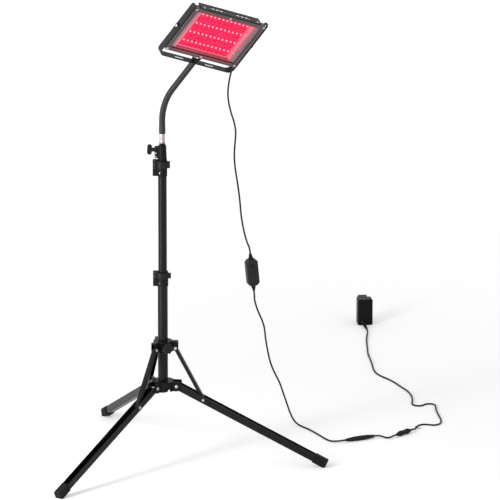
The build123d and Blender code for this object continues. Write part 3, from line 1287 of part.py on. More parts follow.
tie_run = Vector(*ADAPTER_CORD[1]) - Vector(*ADAPTER_CORD[0])
TIE = Plane(
    origin=Vector(*ADAPTER_CORD[0]) + tie_run * TIE_SHARE, x_dir=tie_run.cross(Vector(0, 0, 1)), z_dir=tie_run
)
with BuildPart() as cord_tie:
    with BuildSketch(TIE):
        Circle(CORD_R + TIE_SHEET)
        with Locations((CORD_R + TIE_TAIL / 2, CORD_R)):
            Rectangle(TIE_TAIL, TIE_SHEET)
        Circle(CORD_R + PIN_GAP, mode=Mode.SUBTRACT)
    extrude(amount=TIE_WIDTH / 2, both=True)
    split(bisect_by=Plane.XY, keep=Keep.TOP)
save(cord_tie.part, "cord_tie")

# ------------------------------------------------------------------ wall adapter

adapter_turn = radians(ADAPTER_YAW)
ADAPTER = Plane(
    origin=Vector(*ADAPTER_AT, 0), x_dir=Vector(cos(adapter_turn), sin(adapter_turn), 0),
    z_dir=Vector(sin(adapter_turn), -cos(adapter_turn), 0),
)
PRONG_Z = ADAPTER_HEIGHT - BOSS_TOP_INSET - BOSS_HEIGHT / 2

for name, side in (("front", 1), ("back", -1)):
    with BuildPart() as shell:
        with BuildSketch(ADAPTER):
            with Locations((0, ADAPTER_HEIGHT / 2)):
                RectangleRounded(ADAPTER_WIDTH, ADAPTER_HEIGHT, ADAPTER_CORNER)
        extrude(amount=side * ADAPTER_DEPTH / 2)
        fillet(shell.faces().sort_by(Axis(ADAPTER.origin, ADAPTER.z_dir * side))[-1].edges(), ADAPTER_EDGE)
        if side == -1:
            with BuildSketch(ADAPTER.offset(-ADAPTER_DEPTH / 2)):
                with Locations((0, PRONG_Z)):
                    RectangleRounded(BOSS_WIDTH, BOSS_HEIGHT, BOSS_CORNER)
            extrude(amount=-BOSS_DEPTH)
        with BuildSketch(ADAPTER):
            with Locations((0, ADAPTER_HEIGHT / 2)):
                Rectangle(ADAPTER_WIDTH - 2 * SHELL_WALL, ADAPTER_HEIGHT - 2 * SHELL_WALL)
        extrude(amount=side * (ADAPTER_DEPTH / 2 - SHELL_WALL), mode=Mode.SUBTRACT)
        if side == 1:
            with BuildSketch(ADAPTER):
                with Locations((INDICATOR_AT[0], ADAPTER_HEIGHT - INDICATOR_AT[1])):
                    Circle(INDICATOR_R)
            extrude(amount=ADAPTER_DEPTH, mode=Mode.SUBTRACT)
        if side == -1:
            with BuildSketch(ADAPTER.offset(-ADAPTER_DEPTH / 2 - BOSS_DEPTH)):
                with Locations((PRONG_PITCH / 2, PRONG_Z), (-PRONG_PITCH / 2, PRONG_Z)):
                    Circle(PRONG_ROOT_R)
            extrude(amount=PRONG_BITE, mode=Mode.SUBTRACT)
    save(shell.part, f"adapter_{name}_shell")

with BuildPart() as adapter_pins:
    for place, length, radius in (
        (PRONG_BITE, PRONG_BITE + PRONG_ROOT, PRONG_ROOT_R), (-PRONG_ROOT, PRONG_LENGTH - PRONG_ROOT, PRONG_R),
    ):
        with BuildSketch(ADAPTER.offset(place - ADAPTER_DEPTH / 2 - BOSS_DEPTH)):
            with Locations((PRONG_PITCH / 2, PRONG_Z), (-PRONG_PITCH / 2, PRONG_Z)):
                Circle(radius)
        extrude(amount=-length)
    chamfer(adapter_pins.faces().filter_by(ADAPTER).group_by(Axis(ADAPTER.origin, ADAPTER.z_dir))[0].edges(), 0.7)
save(adapter_pins.part, "adapter_pins")

with BuildPart() as adapter_boot:
    for place, radius in ((0, BOOT_R), (BOOT_LENGTH * 0.35, BOOT_R * 0.93), (BOOT_LENGTH, TIP_R)):
        with BuildSketch(ADAPTER.offset(ADAPTER_DEPTH / 2 + place)):
            with Locations((BOOT_AT, BOOT_Z)):
                Circle(radius)
    loft(ruled=True)
save(adapter_boot.part, "adapter_boot")

# ------------------------------------------------------------------ cord


def cord(name, route):
    """A round cord along straight runs, with an arc at each corner that is as large as its two runs allow."""
    points = [Vector(*point) for point in route]
    radii = []
    for before, corner, after in zip(points, points[1:], points[2:]):
        turn = (corner - before).get_angle(after - corner)
        shorter = min((corner - before).length, (after - corner).length)
        radii.append(ARC_SHARE * shorter / tan(radians(turn) / 2))
    print(name, "radii", [round(radius) for radius in radii])
    with BuildPart() as made:
        with BuildLine() as path:
            FilletPolyline(*points, radius=radii)
        with BuildSketch(path.wire() ^ 0):
            Circle(CORD_R)
        sweep()
    print(name, "volume over section times length", made.part.volume / (pi * CORD_R**2 * path.wire().length))
    return save(made.part, name)


gland_end = PANEL.from_local_coords((BOX_RIGHT + GLAND_LENGTH, GLAND_Y, GLAND_Z))
controller_end = CONTROLLER.y_dir * (CONTROLLER_LENGTH / 2 + RELIEF)
controller_lead = CONTROLLER.y_dir * LEAD
lamp_cord_foot = CONTROLLER.origin + controller_end
lamp_cord_stretch = (gland_end.Z - LAMP_CORD_TOP) / (LAMP_CORD_TOP - lamp_cord_foot.Z)
cord("lamp_cord", [
    gland_end, gland_end + PANEL.x_dir * LEAD,
    *((x, y, z + (z - lamp_cord_foot.Z) * lamp_cord_stretch) for x, y, z in LAMP_CORD),
    lamp_cord_foot + controller_lead, lamp_cord_foot,
])
cord("lower_cord", [
    CONTROLLER.origin - controller_end, CONTROLLER.origin - controller_end - controller_lead, *LOWER_CORD,
    SPLICE_START - splice_way * FLOOR_LEAD, SPLICE_START,
])
cord("link_cord", [SPLICE_END, SPLICE_END + splice_way * SHORT_LEAD, *LINK_CORD,
                   CONNECTOR_START - connector_way * SHORT_LEAD, CONNECTOR_START])
boot_tip = ADAPTER.from_local_coords((BOOT_AT, BOOT_Z, ADAPTER_DEPTH / 2 + BOOT_LENGTH))
cord("adapter_cord", [
    CONNECTOR_END, CONNECTOR_END + connector_way * SHORT_LEAD, *ADAPTER_CORD,
    boot_tip + ADAPTER.z_dir * BOOT_LEAD, boot_tip,
])
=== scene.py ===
"""Infrared heat lamp: the finishes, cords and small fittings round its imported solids.

Everything is in metres, in the frame of the solids. The sizes of the fittings are in millimetres, because that is how
such things are drawn, and a Place turns them into metres.
"""
import logging
import math
from dataclasses import dataclass
from enum import Enum
from functools import cache
from typing import Sequence

import bmesh
import bpy
from mathutils import Matrix, Vector


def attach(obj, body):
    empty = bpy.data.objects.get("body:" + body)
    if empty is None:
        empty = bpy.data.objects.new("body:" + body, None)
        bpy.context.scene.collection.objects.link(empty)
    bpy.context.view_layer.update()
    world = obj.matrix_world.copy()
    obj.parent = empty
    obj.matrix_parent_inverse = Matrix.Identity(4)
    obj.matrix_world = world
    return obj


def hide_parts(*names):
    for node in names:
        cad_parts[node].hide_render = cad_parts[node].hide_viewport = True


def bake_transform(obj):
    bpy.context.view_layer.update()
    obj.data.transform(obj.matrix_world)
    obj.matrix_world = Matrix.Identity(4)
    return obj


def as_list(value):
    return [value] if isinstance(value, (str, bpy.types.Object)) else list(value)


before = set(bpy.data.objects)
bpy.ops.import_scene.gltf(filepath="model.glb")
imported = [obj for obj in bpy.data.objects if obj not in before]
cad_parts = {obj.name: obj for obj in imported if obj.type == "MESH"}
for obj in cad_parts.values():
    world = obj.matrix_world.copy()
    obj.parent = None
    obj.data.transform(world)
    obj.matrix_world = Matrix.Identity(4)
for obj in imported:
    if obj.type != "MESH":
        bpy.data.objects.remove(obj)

LOG = logging.getLogger("heat_lamp")
MM = 0.001
SHARP = 35.0  # degrees past which an edge stays sharp
Colour = Point = tuple[float, float, float]
Mesh, Object = bpy.types.Mesh, bpy.types.Object
Tree, Node, Socket = bpy.types.NodeTree, bpy.types.Node, bpy.types.NodeSocket
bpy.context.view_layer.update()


# ------------------------------------------------------------------ places and meshes


@dataclass(frozen=True)
class Place:
    """A local frame: its origin in millimetres, and its three unit directions."""

    origin: Vector
    x: Vector
    y: Vector
    z: Vector

    def at(self, x: float, y: float, z: float) -> Vector:
        """The point in metres at local millimetres."""
        return (self.origin + self.x * x + self.y * y + self.z * z) * MM

    def turn(self) -> Matrix:
        """The 3x3 matrix from local to shared directions."""
        return Matrix((self.x, self.y, self.z)).transposed()

    def matrix(self) -> Matrix:
        """The 4x4 matrix from local millimetres to shared metres."""
        return Matrix.Translation(self.origin * MM) @ self.turn().to_4x4() @ Matrix.Scale(MM, 4)

    def facing(self, x: float, y: float, z: float, aim: Vector) -> "Place":
        """A frame at a local point whose z runs along a shared direction.

        Args:
            x: Local millimetres along x.
            y: Local millimetres along y.
            z: Local millimetres along z.
            aim: The direction of the new z.

        Returns:
            The new frame.
        """
        return facing(self.at(x, y, z) / MM, aim)


def facing(origin: Vector, aim: Vector) -> Place:
    """A frame whose z runs along a direction.

    Args:
        origin: Its origin in millimetres.
        aim: The direction of its z.

    Returns:
        The frame, with its x as level as it can be.
    """
    up = Vector((0, 0, 1)) if abs(aim.normalized().z) < 0.95 else Vector((1, 0, 0))
    x = up.cross(aim).normalized()
    return Place(origin, x, aim.cross(x).normalized(), aim.normalized())


def polar(radius: float, azimuth: float, z: float = 0.0) -> Vector:
    """The point at a radius and an azimuth in degrees round the mast, in the unit of the radius."""
    return Vector((radius * math.cos(math.radians(azimuth)), radius * math.sin(math.radians(azimuth)), z))


MAST = Place(Vector((0, 0, 0)), Vector((1, 0, 0)), Vector((0, 1, 0)), Vector((0, 0, 1)))
PANEL = Place(
    Vector((119.805, -33.225, 973.907)), Vector((0.65923245, 0.66568611, -0.34967781)),
    Vector((0.58528586, -0.16231413, 0.79441462)), Vector((0.47207313, -0.72836538, -0.49661941)),
)
CONTROLLER = Place(
    Vector((179.5, 122.5, 402.0)), Vector((0.87513267, 0.46885655, 0.11965093)),
    Vector((-0.0774287, -0.10840018, 0.99108738)), Vector((0.47764799, -0.87659736, -0.05856159)),
)
ADAPTER = Place(
    Vector((300.0, 1121.0, 0.0)), Vector((0.95980529, 0.28066671, 0.0)), Vector((0.0, 0.0, 1.0)),
    Vector((0.28066671, -0.95980529, 0.0)),
)


def shown(name: str, data: bpy.types.ID) -> Object:
    """Puts a mesh or a curve in the scene under a name.

    Args:
        name: The object's name.
        data: What it shows.

    Returns:
        The object.
    """
    made = bpy.data.objects.new(name, data)
    bpy.context.scene.collection.objects.link(made)
    return made


def smooth(mesh: Mesh, sharp: float = SHARP) -> None:
    """Shades a mesh smooth but for edges sharper than an angle in degrees."""
    mesh.polygons.foreach_set("use_smooth", [True] * len(mesh.polygons))
    mesh.set_sharp_from_angle(angle=math.radians(sharp))


def closed_mesh(name: str, corners: Sequence[Vector], faces: Sequence[Sequence[int]], sharp: float = SHARP) -> Mesh:
    """A smooth mesh with its faces outwards.

    Args:
        name: The mesh's name.
        corners: Its points.
        faces: The corners of each face, by index.
        sharp: The angle in degrees past which an edge stays sharp.

    Returns:
        The mesh.
    """
    mesh = bpy.data.meshes.new(name)
    mesh.from_pydata([tuple(corner) for corner in corners], [], [tuple(face) for face in faces])
    shell = bmesh.new()
    shell.from_mesh(mesh)
    bmesh.ops.recalc_face_normals(shell, faces=shell.faces)
    shell.to_mesh(mesh)
    shell.free()
    smooth(mesh, sharp)
    return mesh


def round_steps(count: int) -> list[tuple[float, float]]:
    """The cosine and the sine at equal steps round a circle."""
    angles = [2 * math.pi * step / count for step in range(count)]
    return [(math.cos(angle), math.sin(angle)) for angle in angles]


def ring_faces(rings: int, sides: int, closed: bool = False) -> list[tuple[int, ...]]:
    """The faces between rings of corners that follow one another.

    Args:
        rings: How many rings there are.
        sides: How many corners each ring has.
        closed: Whether the last ring joins the first.

    Returns:
        The corners of each face, by index.
    """
    faces = []
    for ring in range(rings if closed else rings - 1):
        low, high = ring * sides, (ring + 1) % rings * sides
        for side in range(sides):
            following = (side + 1) % sides
            faces.append((low + side, low + following, high + following, high + side))
    return faces


def lathe(
    name: str, profile: Sequence[tuple[float, float]], segments: int, ridges: int = 0, ridge: float = 0.0,
) -> Mesh:
    """A turned shape in local millimetres, round z.

    Args:
        name: The mesh's name.
        profile: Radius and height of each ring, from one pole to the other.
        segments: How many corners each ring has.
        ridges: How many ridges run along it.
        ridge: How deep the grooves between them are.

    Returns:
        The mesh, with an attribute named rise that runs from 0 at the foot to 1 at the top.
    """
    corners: list[Vector] = []
    rings: list[list[int]] = []
    for radius, height in profile:
        start = len(corners)
        if radius <= 0:
            corners.append(Vector((0, 0, height)))
            rings.append([start])
            continue
        for number in range(segments):
            angle = 2 * math.pi * number / segments
            bite = ridge * (0.5 - 0.5 * math.cos(ridges * angle)) if ridges else 0.0
            reach = radius - bite
            corners.append(Vector((reach * math.cos(angle), reach * math.sin(angle), height)))
        rings.append(list(range(start, start + segments)))
    faces: list[Sequence[int]] = []
    for below, above in zip(rings, rings[1:]):
        for number in range(segments):
            following = (number + 1) % segments
            if len(below) == 1:
                faces.append((below[0], above[number], above[following]))
            elif len(above) == 1:
                faces.append((below[number], below[following], above[0]))
            else:
                faces.append((below[number], below[following], above[following], above[number]))
    mesh = closed_mesh(name, corners, faces)
    heights = [height for _, height in profile]
    low, high = min(heights), max(heights)
    rise = mesh.attributes.new("rise", "FLOAT", "POINT")
    rise.data.foreach_set("value", [(vertex.co.z - low) / (high - low) for vertex in mesh.vertices])
    return mesh


def frames_along(points: Sequence[Vector]) -> list[tuple[Vector, Vector]]:
    """Two directions across a path at each of its points, that don't twist from one point to the next.

    Args:
        points: The path, in metres.

    Returns:
        Two directions across the path at each point.
    """
    ways = [(after - before).normalized() for before, after in zip([points[0], *points], [*points[1:], points[-1]])]
    ways[0] = (points[1] - points[0]).normalized()
    side = ways[0].orthogonal().normalized()
    found = []
    for way in ways:
        side = (side - way * side.dot(way)).normalized()
        found.append((side, way.cross(side)))
    return found


def tube(
    name: str, points: Sequence[Vector], radius: float, frames: Sequence[tuple[Vector, Vector]], sides: int = 16,
) -> Mesh:
    """A closed tube along a path, with a UV map that runs round it and along it in metres.

    Args:
        name: The mesh's name.
        points: The path, in metres.
        radius: The tube's radius, in metres.
        frames: Two directions across the path at each point.
        sides: How many corners each ring has.

    Returns:
        The mesh.
    """
    corners: list[Vector] = []
    runs, run = [], 0.0
    for number, (point, (across, over)) in enumerate(zip(points, frames)):
        run += (point - points[number - 1]).length if number else 0.0
        runs.append(run)
        corners += [point + (across * cosine + over * sine) * radius for cosine, sine in round_steps(sides)]
    last = (len(points) - 1) * sides
    caps = [tuple(range(sides)), tuple(range(last, last + sides))]
    mesh = closed_mesh(name, corners, ring_faces(len(points), sides) + caps, 60.0)
    layer = mesh.uv_layers.new(name="UVMap")
    for face in mesh.polygons:
        seam = {mesh.loops[index].vertex_index % sides for index in face.loop_indices} >= {0, sides - 1}
        for index in face.loop_indices:
            corner = mesh.loops[index].vertex_index
            wraps = seam and corner % sides == 0 and len(face.loop_indices) == 4
            layer.data[index].uv = (1.0 if wraps else corner % sides / sides, runs[corner // sides])
    return mesh


# ------------------------------------------------------------------ node trees


class Graph:
    """Adds nodes to a tree and links them, in shader and geometry trees alike."""

    def __init__(self, tree: Tree) -> None:
        """Keeps the tree that the nodes go into."""
        self.tree = tree

    def feed(self, node: Node, inputs: dict) -> Node:
        """Sets a node's inputs.

        Args:
            node: The node.
            inputs: A value or a socket to link from, for each input by name or number.

        Returns:
            The node.
        """
        for key, value in inputs.items():
            held = node.inputs[key]
            if isinstance(value, Socket):
                self.tree.links.new(value, held)
            else:
                held.default_value = (*value, 1.0) if held.type == "RGBA" and len(value) == 3 else value
        return node

    def add(self, kind: str, inputs: dict | None = None, **settings: object) -> Node:
        """Adds a node.

        Args:
            kind: The node's type.
            inputs: A value or a socket to link from, for each input by name or number.
            **settings: The node's own settings.

        Returns:
            The node.
        """
        node = self.tree.nodes.new(kind)
        for name, value in settings.items():
            setattr(node, name, value)
        return self.feed(node, inputs or {})

    def use(self, group: Tree, inputs: dict) -> Node:
        """Places a shader group and sets its inputs."""
        return self.add("ShaderNodeGroup", inputs, node_tree=group)

    def math(self, operation: str, *values: object) -> Socket:
        """The result of one sum."""
        return self.add("ShaderNodeMath", dict(enumerate(values)), operation=operation).outputs[0]

    def plus(self, first: object, second: object) -> Socket:
        """The sum of two numbers."""
        return self.math("ADD", first, second)

    def minus(self, first: object, second: object) -> Socket:
        """The first number less the second."""
        return self.math("SUBTRACT", first, second)

    def times(self, first: object, second: object) -> Socket:
        """The product of two numbers."""
        return self.math("MULTIPLY", first, second)

    def over(self, first: object, second: object) -> Socket:
        """The first number divided by the second."""
        return self.math("DIVIDE", first, second)

    def most(self, first: object, second: object) -> Socket:
        """The larger of two numbers."""
        return self.math("MAXIMUM", first, second)

    def size(self, value: object) -> Socket:
        """A number without its sign."""
        return self.math("ABSOLUTE", value)

    def mix(self, factor: object, first: object, second: object) -> Socket:
        """A colour between two colours."""
        return self.add("ShaderNodeMix", {0: factor, 6: first, 7: second}, data_type="RGBA").outputs[2]

    def level(self, factor: object, first: object, second: object) -> Socket:
        """A number between two numbers."""
        return self.add("ShaderNodeMix", {0: factor, 2: first, 3: second}, data_type="FLOAT").outputs[0]

    def span(self, value: object, low: object, high: object, to_low: float = 0.0, to_high: float = 1.0) -> Socket:
        """A number moved from one range to another, and kept in it."""
        return self.add("ShaderNodeMapRange", {0: value, 1: low, 2: high, 3: to_low, 4: to_high}).outputs[0]

    def noise(self, vector: object, scale: object, detail: float = 3.0) -> Socket:
        """A cloudy pattern from 0 to 1."""
        return self.add("ShaderNodeTexNoise", {"Vector": vector, "Scale": scale, "Detail": detail}).outputs[0]

    def parts(self, vector: Socket) -> list[Socket]:
        """The three numbers of a vector."""
        return list(self.add("ShaderNodeSeparateXYZ", {0: vector}).outputs)

    def where(self) -> Socket:
        """The object's own coordinates."""
        return self.add("ShaderNodeTexCoord").outputs["Object"]

    def local(self, place: Place, scale: Point = (MM, MM, MM)) -> Socket:
        """The object's coordinates seen from a place, in millimetres or at another scale.

        Args:
            place: Where to see them from.
            scale: How long one unit is along each axis, in metres.

        Returns:
            The coordinates.
        """
        return self.add("ShaderNodeMapping", {
            "Vector": self.where(), "Location": place.origin * MM, "Rotation": place.turn().to_euler(), "Scale": scale,
        }, vector_type="TEXTURE").outputs[0]

    def seen(self) -> Socket:
        """1 for what the camera sees, also in a reflection or through glass, and 0 for plain light."""
        path = self.add("ShaderNodeLightPath").outputs
        return self.most(self.most(path["Is Camera Ray"], path["Is Glossy Ray"]), path["Is Transmission Ray"])


Sockets = Sequence[tuple[str, str]]


def new_tree(name: str, kind: str, inputs: Sockets, outputs: Sockets) -> tuple[Graph, Node, Node]:
    """A node group with named inputs and outputs.

    Args:
        name: The group's name.
        kind: ShaderNodeTree or GeometryNodeTree.
        inputs: Name and kind of each input.
        outputs: Name and kind of each output.

    Returns:
        The graph, its group input and its group output.
    """
    tree = bpy.data.node_groups.new(name, kind)
    for way, sockets in (("INPUT", inputs), ("OUTPUT", outputs)):
        for label, socket in sockets:
            tree.interface.new_socket(label, in_out=way, socket_type=f"NodeSocket{socket}")
    graph = Graph(tree)
    return graph, graph.add("NodeGroupInput"), graph.add("NodeGroupOutput")


@cache
def surface_group() -> Tree:
    """The shader group for cloudy colour, edges lightened partly by rubbing and partly by a painted highlight, uneven
    roughness and fine grain.

    Returns:
        The group.
    """
    colours = [(name, "Color") for name in ("Base", "Shade", "Edge")]
    numbers = [(name, "Float") for name in ("Mottle", "Grain", "Edge Width", "Edge Wear And Sheen", "Rough Low", "Rough High")]
    graph, given, made = new_tree(
        "surface", "ShaderNodeTree", [("Vector", "Vector"), *colours, *numbers],
        [("Color", "Color"), ("Roughness", "Float"), ("Height", "Float")],
    )
    get = given.outputs
    cloud = graph.span(graph.noise(get["Vector"], get["Mottle"]), 0.3, 0.7)
    grain = graph.noise(get["Vector"], get["Grain"], 2.0)
    rounded = graph.add("ShaderNodeBevel", {"Radius": get["Edge Width"]}, samples=4).outputs[0]
    plain = graph.add("ShaderNodeNewGeometry").outputs["Normal"]
    alike = graph.add("ShaderNodeVectorMath", {0: rounded, 1: plain}, operation="DOT_PRODUCT").outputs["Value"]
    # Edges take the Edge colour: partly rubbed paint, partly a painted highlight along them.
    edge = graph.span(alike, 0.99, 0.8)
    patchy_wear_and_sheen = graph.span(graph.noise(get["Vector"], graph.times(get["Mottle"], 6.0)), 0.35, 0.65, 0.3, 1.0)
    wear_and_sheen_mask = graph.times(graph.times(edge, patchy_wear_and_sheen), get["Edge Wear And Sheen"])
    uneven = graph.plus(graph.times(cloud, 0.6), graph.times(grain, 0.4))
    graph.feed(made, {
        "Color": graph.mix(wear_and_sheen_mask, graph.mix(cloud, get["Base"], get["Shade"]), get["Edge"]),
        "Roughness": graph.level(uneven, get["Rough Low"], get["Rough High"]), "Height": grain,
    })
    return graph.tree


@cache
def joint_line_group() -> Tree:
    """The shader group for a mask that is 1 on a thin line where a coordinate passes a value.

    Returns:
        The group.
    """
    numbers = [(name, "Float") for name in ("Coordinate", "At", "Width")]
    graph, given, made = new_tree("joint_line", "ShaderNodeTree", numbers, [("Mask", "Float")])
    get = given.outputs
    away = graph.size(graph.minus(get["Coordinate"], get["At"]))
    graph.feed(made, {"Mask": graph.span(away, get["Width"], graph.times(get["Width"], 0.4))})
    return graph.tree


@cache
def dots_group() -> Tree:
    """The shader group for a mask of round dots in rows, from two coordinates in millimetres.

    Returns:
        The group.
    """
    numbers = [(name, "Float") for name in ("X", "Y", "Pitch", "Dot")]
    graph, given, made = new_tree("dots", "ShaderNodeTree", numbers, [("Mask", "Float")])
    get = given.outputs
    squares = []
    for name in ("X", "Y"):
        share = graph.math("FRACT", graph.over(get[name], get["Pitch"]))
        squares.append(graph.math("POWER", graph.size(graph.times(graph.minus(share, 0.5), get["Pitch"])), 2.0))
    distance = graph.math("SQRT", graph.plus(*squares))
    graph.feed(made, {"Mask": graph.span(distance, get["Dot"], graph.times(get["Dot"], 0.7))})
    return graph.tree


# ------------------------------------------------------------------ finishes


class Finish:
    """A finish builds its material the first time that it is asked for."""

    _built: dict[str, bpy.types.Material] = {}
    name: str

    def material(self) -> bpy.types.Material:
        """The finish's material.

        Returns:
            The material.
        """
        if self.name not in self._built:
            made = bpy.data.materials.new(self.name)
            made.use_nodes = True
            self.paint(Graph(made.node_tree), made.node_tree.nodes["Principled BSDF"])
            self._built[self.name] = made
        return self._built[self.name]

    def paint(self, graph: Graph, shader: Node) -> None:
        """Links the finish's nodes to the shader."""
        raise NotImplementedError


@dataclass(frozen=True)
class Surface(Finish):
    """A solid finish with cloudy colour, edges lightened partly by rubbing and partly by a painted highlight, uneven
    gloss and grain.
    """

    name: str
    base: Colour
    shade: Colour
    # The lighter edge colour: partly rubbing, partly a painted highlight.
    edge: Colour
    mottle: float = 30.0
    grain: float = 2200.0
    stretch: Colour = (1.0, 1.0, 1.0)
    edge_width: float = 0.5
    # How strongly edges take the edge colour, by rubbing and by a painted highlight.
    edge_wear_and_sheen: float = 0.35
    rough: tuple[float, float] = (0.42, 0.6)
    bump: float = 0.25
    depth: float = 0.08
    metallic: float = 0.0
    specular: float = 0.35
    coat: float = 0.0
    place: Place | None = None

    def paint(self, graph: Graph, shader: Node) -> None:
        """Feeds the shared surface group's colour, roughness and height to the shader.

        Args:
            graph: The material's graph.
            shader: The shader to feed.
        """
        if self.place is None:
            vector = graph.add("ShaderNodeMapping", {"Vector": graph.where(), "Scale": self.stretch}).outputs[0]
        else:
            vector = graph.local(self.place, tuple(1 / value for value in self.stretch))
        made = graph.use(surface_group(), {
            "Vector": vector, "Base": self.base, "Shade": self.shade, "Edge": self.edge, "Mottle": self.mottle,
            "Grain": self.grain, "Edge Width": self.edge_width * MM, "Edge Wear And Sheen": self.edge_wear_and_sheen, "Rough Low": self.rough[0],
            "Rough High": self.rough[1],
        }).outputs
        colour, height = self.detail(graph, made["Color"], made["Height"])
        bump = graph.add("ShaderNodeBump", {"Strength": self.bump, "Distance": self.depth * MM, "Height": height})
        graph.feed(shader, {
            "Base Color": colour, "Roughness": made["Roughness"], "Normal": bump.outputs[0], "Metallic": self.metallic,
            "Specular IOR Level": self.specular, "Coat Weight": self.coat,
        })

    def detail(self, graph: Graph, colour: Socket, height: Socket) -> tuple[Socket, Socket]:
        """What a finish adds of its own to the colour and the height. This one adds nothing."""
        return colour, height


@dataclass(frozen=True)
class SeamedShell(Surface):
    """A moulded case of two shells, with the line where they meet."""

    seam: float = 0.0
    seam_width: float = 0.35
    dark: Colour = (0.002, 0.002, 0.002)
    sunk: float = 4.0

    def detail(self, graph: Graph, colour: Socket, height: Socket) -> tuple[Socket, Socket]:
        """Darkens and sinks the line between the shells.

        Args:
            graph: The material's graph.
            colour: The surface's colour.
            height: The surface's height.

        Returns:
            The colour and the height to use.
        """
        depth = graph.parts(graph.local(self.place))[2]
        inputs = {"Coordinate": depth, "At": self.seam, "Width": self.seam_width}
        line = graph.use(joint_line_group(), inputs).outputs[0]
        return graph.mix(line, colour, self.dark), graph.minus(height, graph.times(line, self.sunk))


@dataclass(frozen=True)
class RubberSleeve(Surface):
    """A soft sleeve with faint rings along it, read from its own UV map."""

    ring: float = 2.4
    paler: float = 0.3
    raised: float = 2.0

    def detail(self, graph: Graph, colour: Socket, height: Socket) -> tuple[Socket, Socket]:
        """Adds the rings of the spiral core that show through the sleeve.

        Args:
            graph: The material's graph.
            colour: The surface's colour.
            height: The surface's height.

        Returns:
            The colour and the height to use.
        """
        along = graph.parts(graph.add("ShaderNodeUVMap").outputs[0])[1]
        rings = graph.span(graph.math("SINE", graph.times(along, 2 * math.pi / (self.ring * MM))), -1.0, 1.0)
        ringed = graph.mix(graph.times(rings, self.paler), colour, self.edge)
        return ringed, graph.plus(height, graph.times(rings, self.raised))


@dataclass(frozen=True)
class CordJacket(Surface):
    """An extruded jacket: a soft sheen, faint draw lines and dust."""

    dust: Colour = (0.10, 0.10, 0.105)

    def detail(self, graph: Graph, colour: Socket, height: Socket) -> tuple[Socket, Socket]:
        """Adds a little dust to the jacket's colour."""
        specks = graph.span(graph.noise(graph.where(), 900.0, 4.0), 0.58, 0.75)
        return graph.mix(graph.times(specks, 0.35), colour, self.dust), height


@dataclass(frozen=True)
class LitFrame(Surface):
    """The panel's frame, whose front lip has some of the lamps' red light painted on it."""

    # The painted red light of the lamps on the lip.
    tint: Colour = (0.40, 0.045, 0.075)
    half_x: float = 91.0
    half_y: float = 53.0
    reach: float = 7.0
    lip: float = 6.0

    def detail(self, graph: Graph, colour: Socket, height: Socket) -> tuple[Socket, Socket]:
        """Paints the lamps' red light into the lip's colour near its opening.

        Args:
            graph: The material's graph.
            colour: The surface's colour.
            height: The surface's height.

        Returns:
            The colour and the height to use.
        """
        x, y, z = graph.parts(graph.local(self.place))
        near = graph.span(graph.minus(graph.size(y), self.half_y), self.reach, -1.0)
        front = graph.span(z, self.lip - 0.2, self.lip)
        ends = graph.span(graph.size(x), self.half_x, self.half_x - 14.0, 0.0, 0.7)
        # Painted light: the lamps' red glow mixed into the lip's colour, fading away from the opening and towards the
        # frame's ends.
        return graph.mix(graph.times(graph.times(near, front), ends), colour, self.tint), height


@dataclass(frozen=True)
class PanelBorder(Finish):
    """The reflector: a flat border with dots down its sides, and walls; the lamps' glow on both is painted as emitted
    colour, lighter on the left, with painted shade on the top and bottom walls.
    """

    name: str = "reflector"
    # The border's colour, given as emitted light: the light that falls on it is painted on.
    outer: Colour = (0.20, 0.145, 0.155)
    # Painted glow of the lamps near the opening, lighter on the left.
    left_glow: Colour = (0.80, 0.26, 0.33)
    right_glow: Colour = (0.60, 0.17, 0.19)
    dot: Colour = (0.46, 0.38, 0.40)
    # The walls painted as lit by the lamps, the left a little lighter than the right.
    left_wall: Colour = (0.95, 0.20, 0.28)
    right_wall: Colour = (0.90, 0.17, 0.24)
    # Painted shade on the top and bottom walls.
    painted_shade_wall: Colour = (0.30, 0.022, 0.045)
    border_at: float = 2.0
    opening: tuple[float, float] = (76.5, 51.5)
    reach: float = 11.0
    pitch: float = 3.0
    dot_radius: float = 0.8
    stain: Colour = (0.12, 0.08, 0.09)
    base: Colour = (0.02, 0.015, 0.015)

    def paint(self, graph: Graph, shader: Node) -> None:
        """Paints the lamps' glow fading over the border and paints each wall lit, with painted shade on the top and
        bottom walls, all as emitted colour.

        Args:
            graph: The material's graph.
            shader: The shader to feed.
        """
        x, y, z = graph.parts(graph.local(PANEL))
        width, height = self.opening
        front = graph.span(z, self.border_at - 0.1, self.border_at + 0.1)
        cloud = graph.noise(graph.where(), 60.0)
        side = graph.span(x, -20.0, 20.0)
        across, up = graph.size(x), graph.size(y)
        out = graph.most(graph.minus(across, width), graph.minus(up, height))
        near = graph.math("POWER", graph.span(out, self.reach, 0.0), 1.4)
        # Painted glow of the lamps fading out over the border, lighter on the left.
        border = graph.mix(near, self.outer, graph.mix(side, self.left_glow, self.right_glow))
        # Painted shade along the top and bottom of the opening.
        border = graph.mix(graph.span(up, height - 1.0, height), border, self.painted_shade_wall)
        dots = graph.use(dots_group(), {"X": x, "Y": y, "Pitch": self.pitch, "Dot": self.dot_radius}).outputs[0]
        band = graph.times(graph.span(out, 3.0, 6.0), 0.55)
        border = graph.mix(graph.times(dots, band), border, self.dot)
        border = graph.mix(graph.span(cloud, 0.3, 0.7, 0.0, 0.25), border, self.stain)
        # Painted light on the side walls, and painted shade on the top and bottom walls.
        side_wall = graph.mix(side, self.left_wall, self.right_wall)
        wall = graph.mix(graph.span(up, height - 4.0, height - 2.0), side_wall, self.painted_shade_wall)
        lit = graph.mix(front, wall, border)
        graph.feed(shader, {
            "Emission Color": lit, "Base Color": graph.mix(0.8, lit, self.base),
            "Roughness": graph.span(cloud, 0.2, 0.8, 0.35, 0.5), "Emission Strength": 1.0, "Specular IOR Level": 0.15,
        })


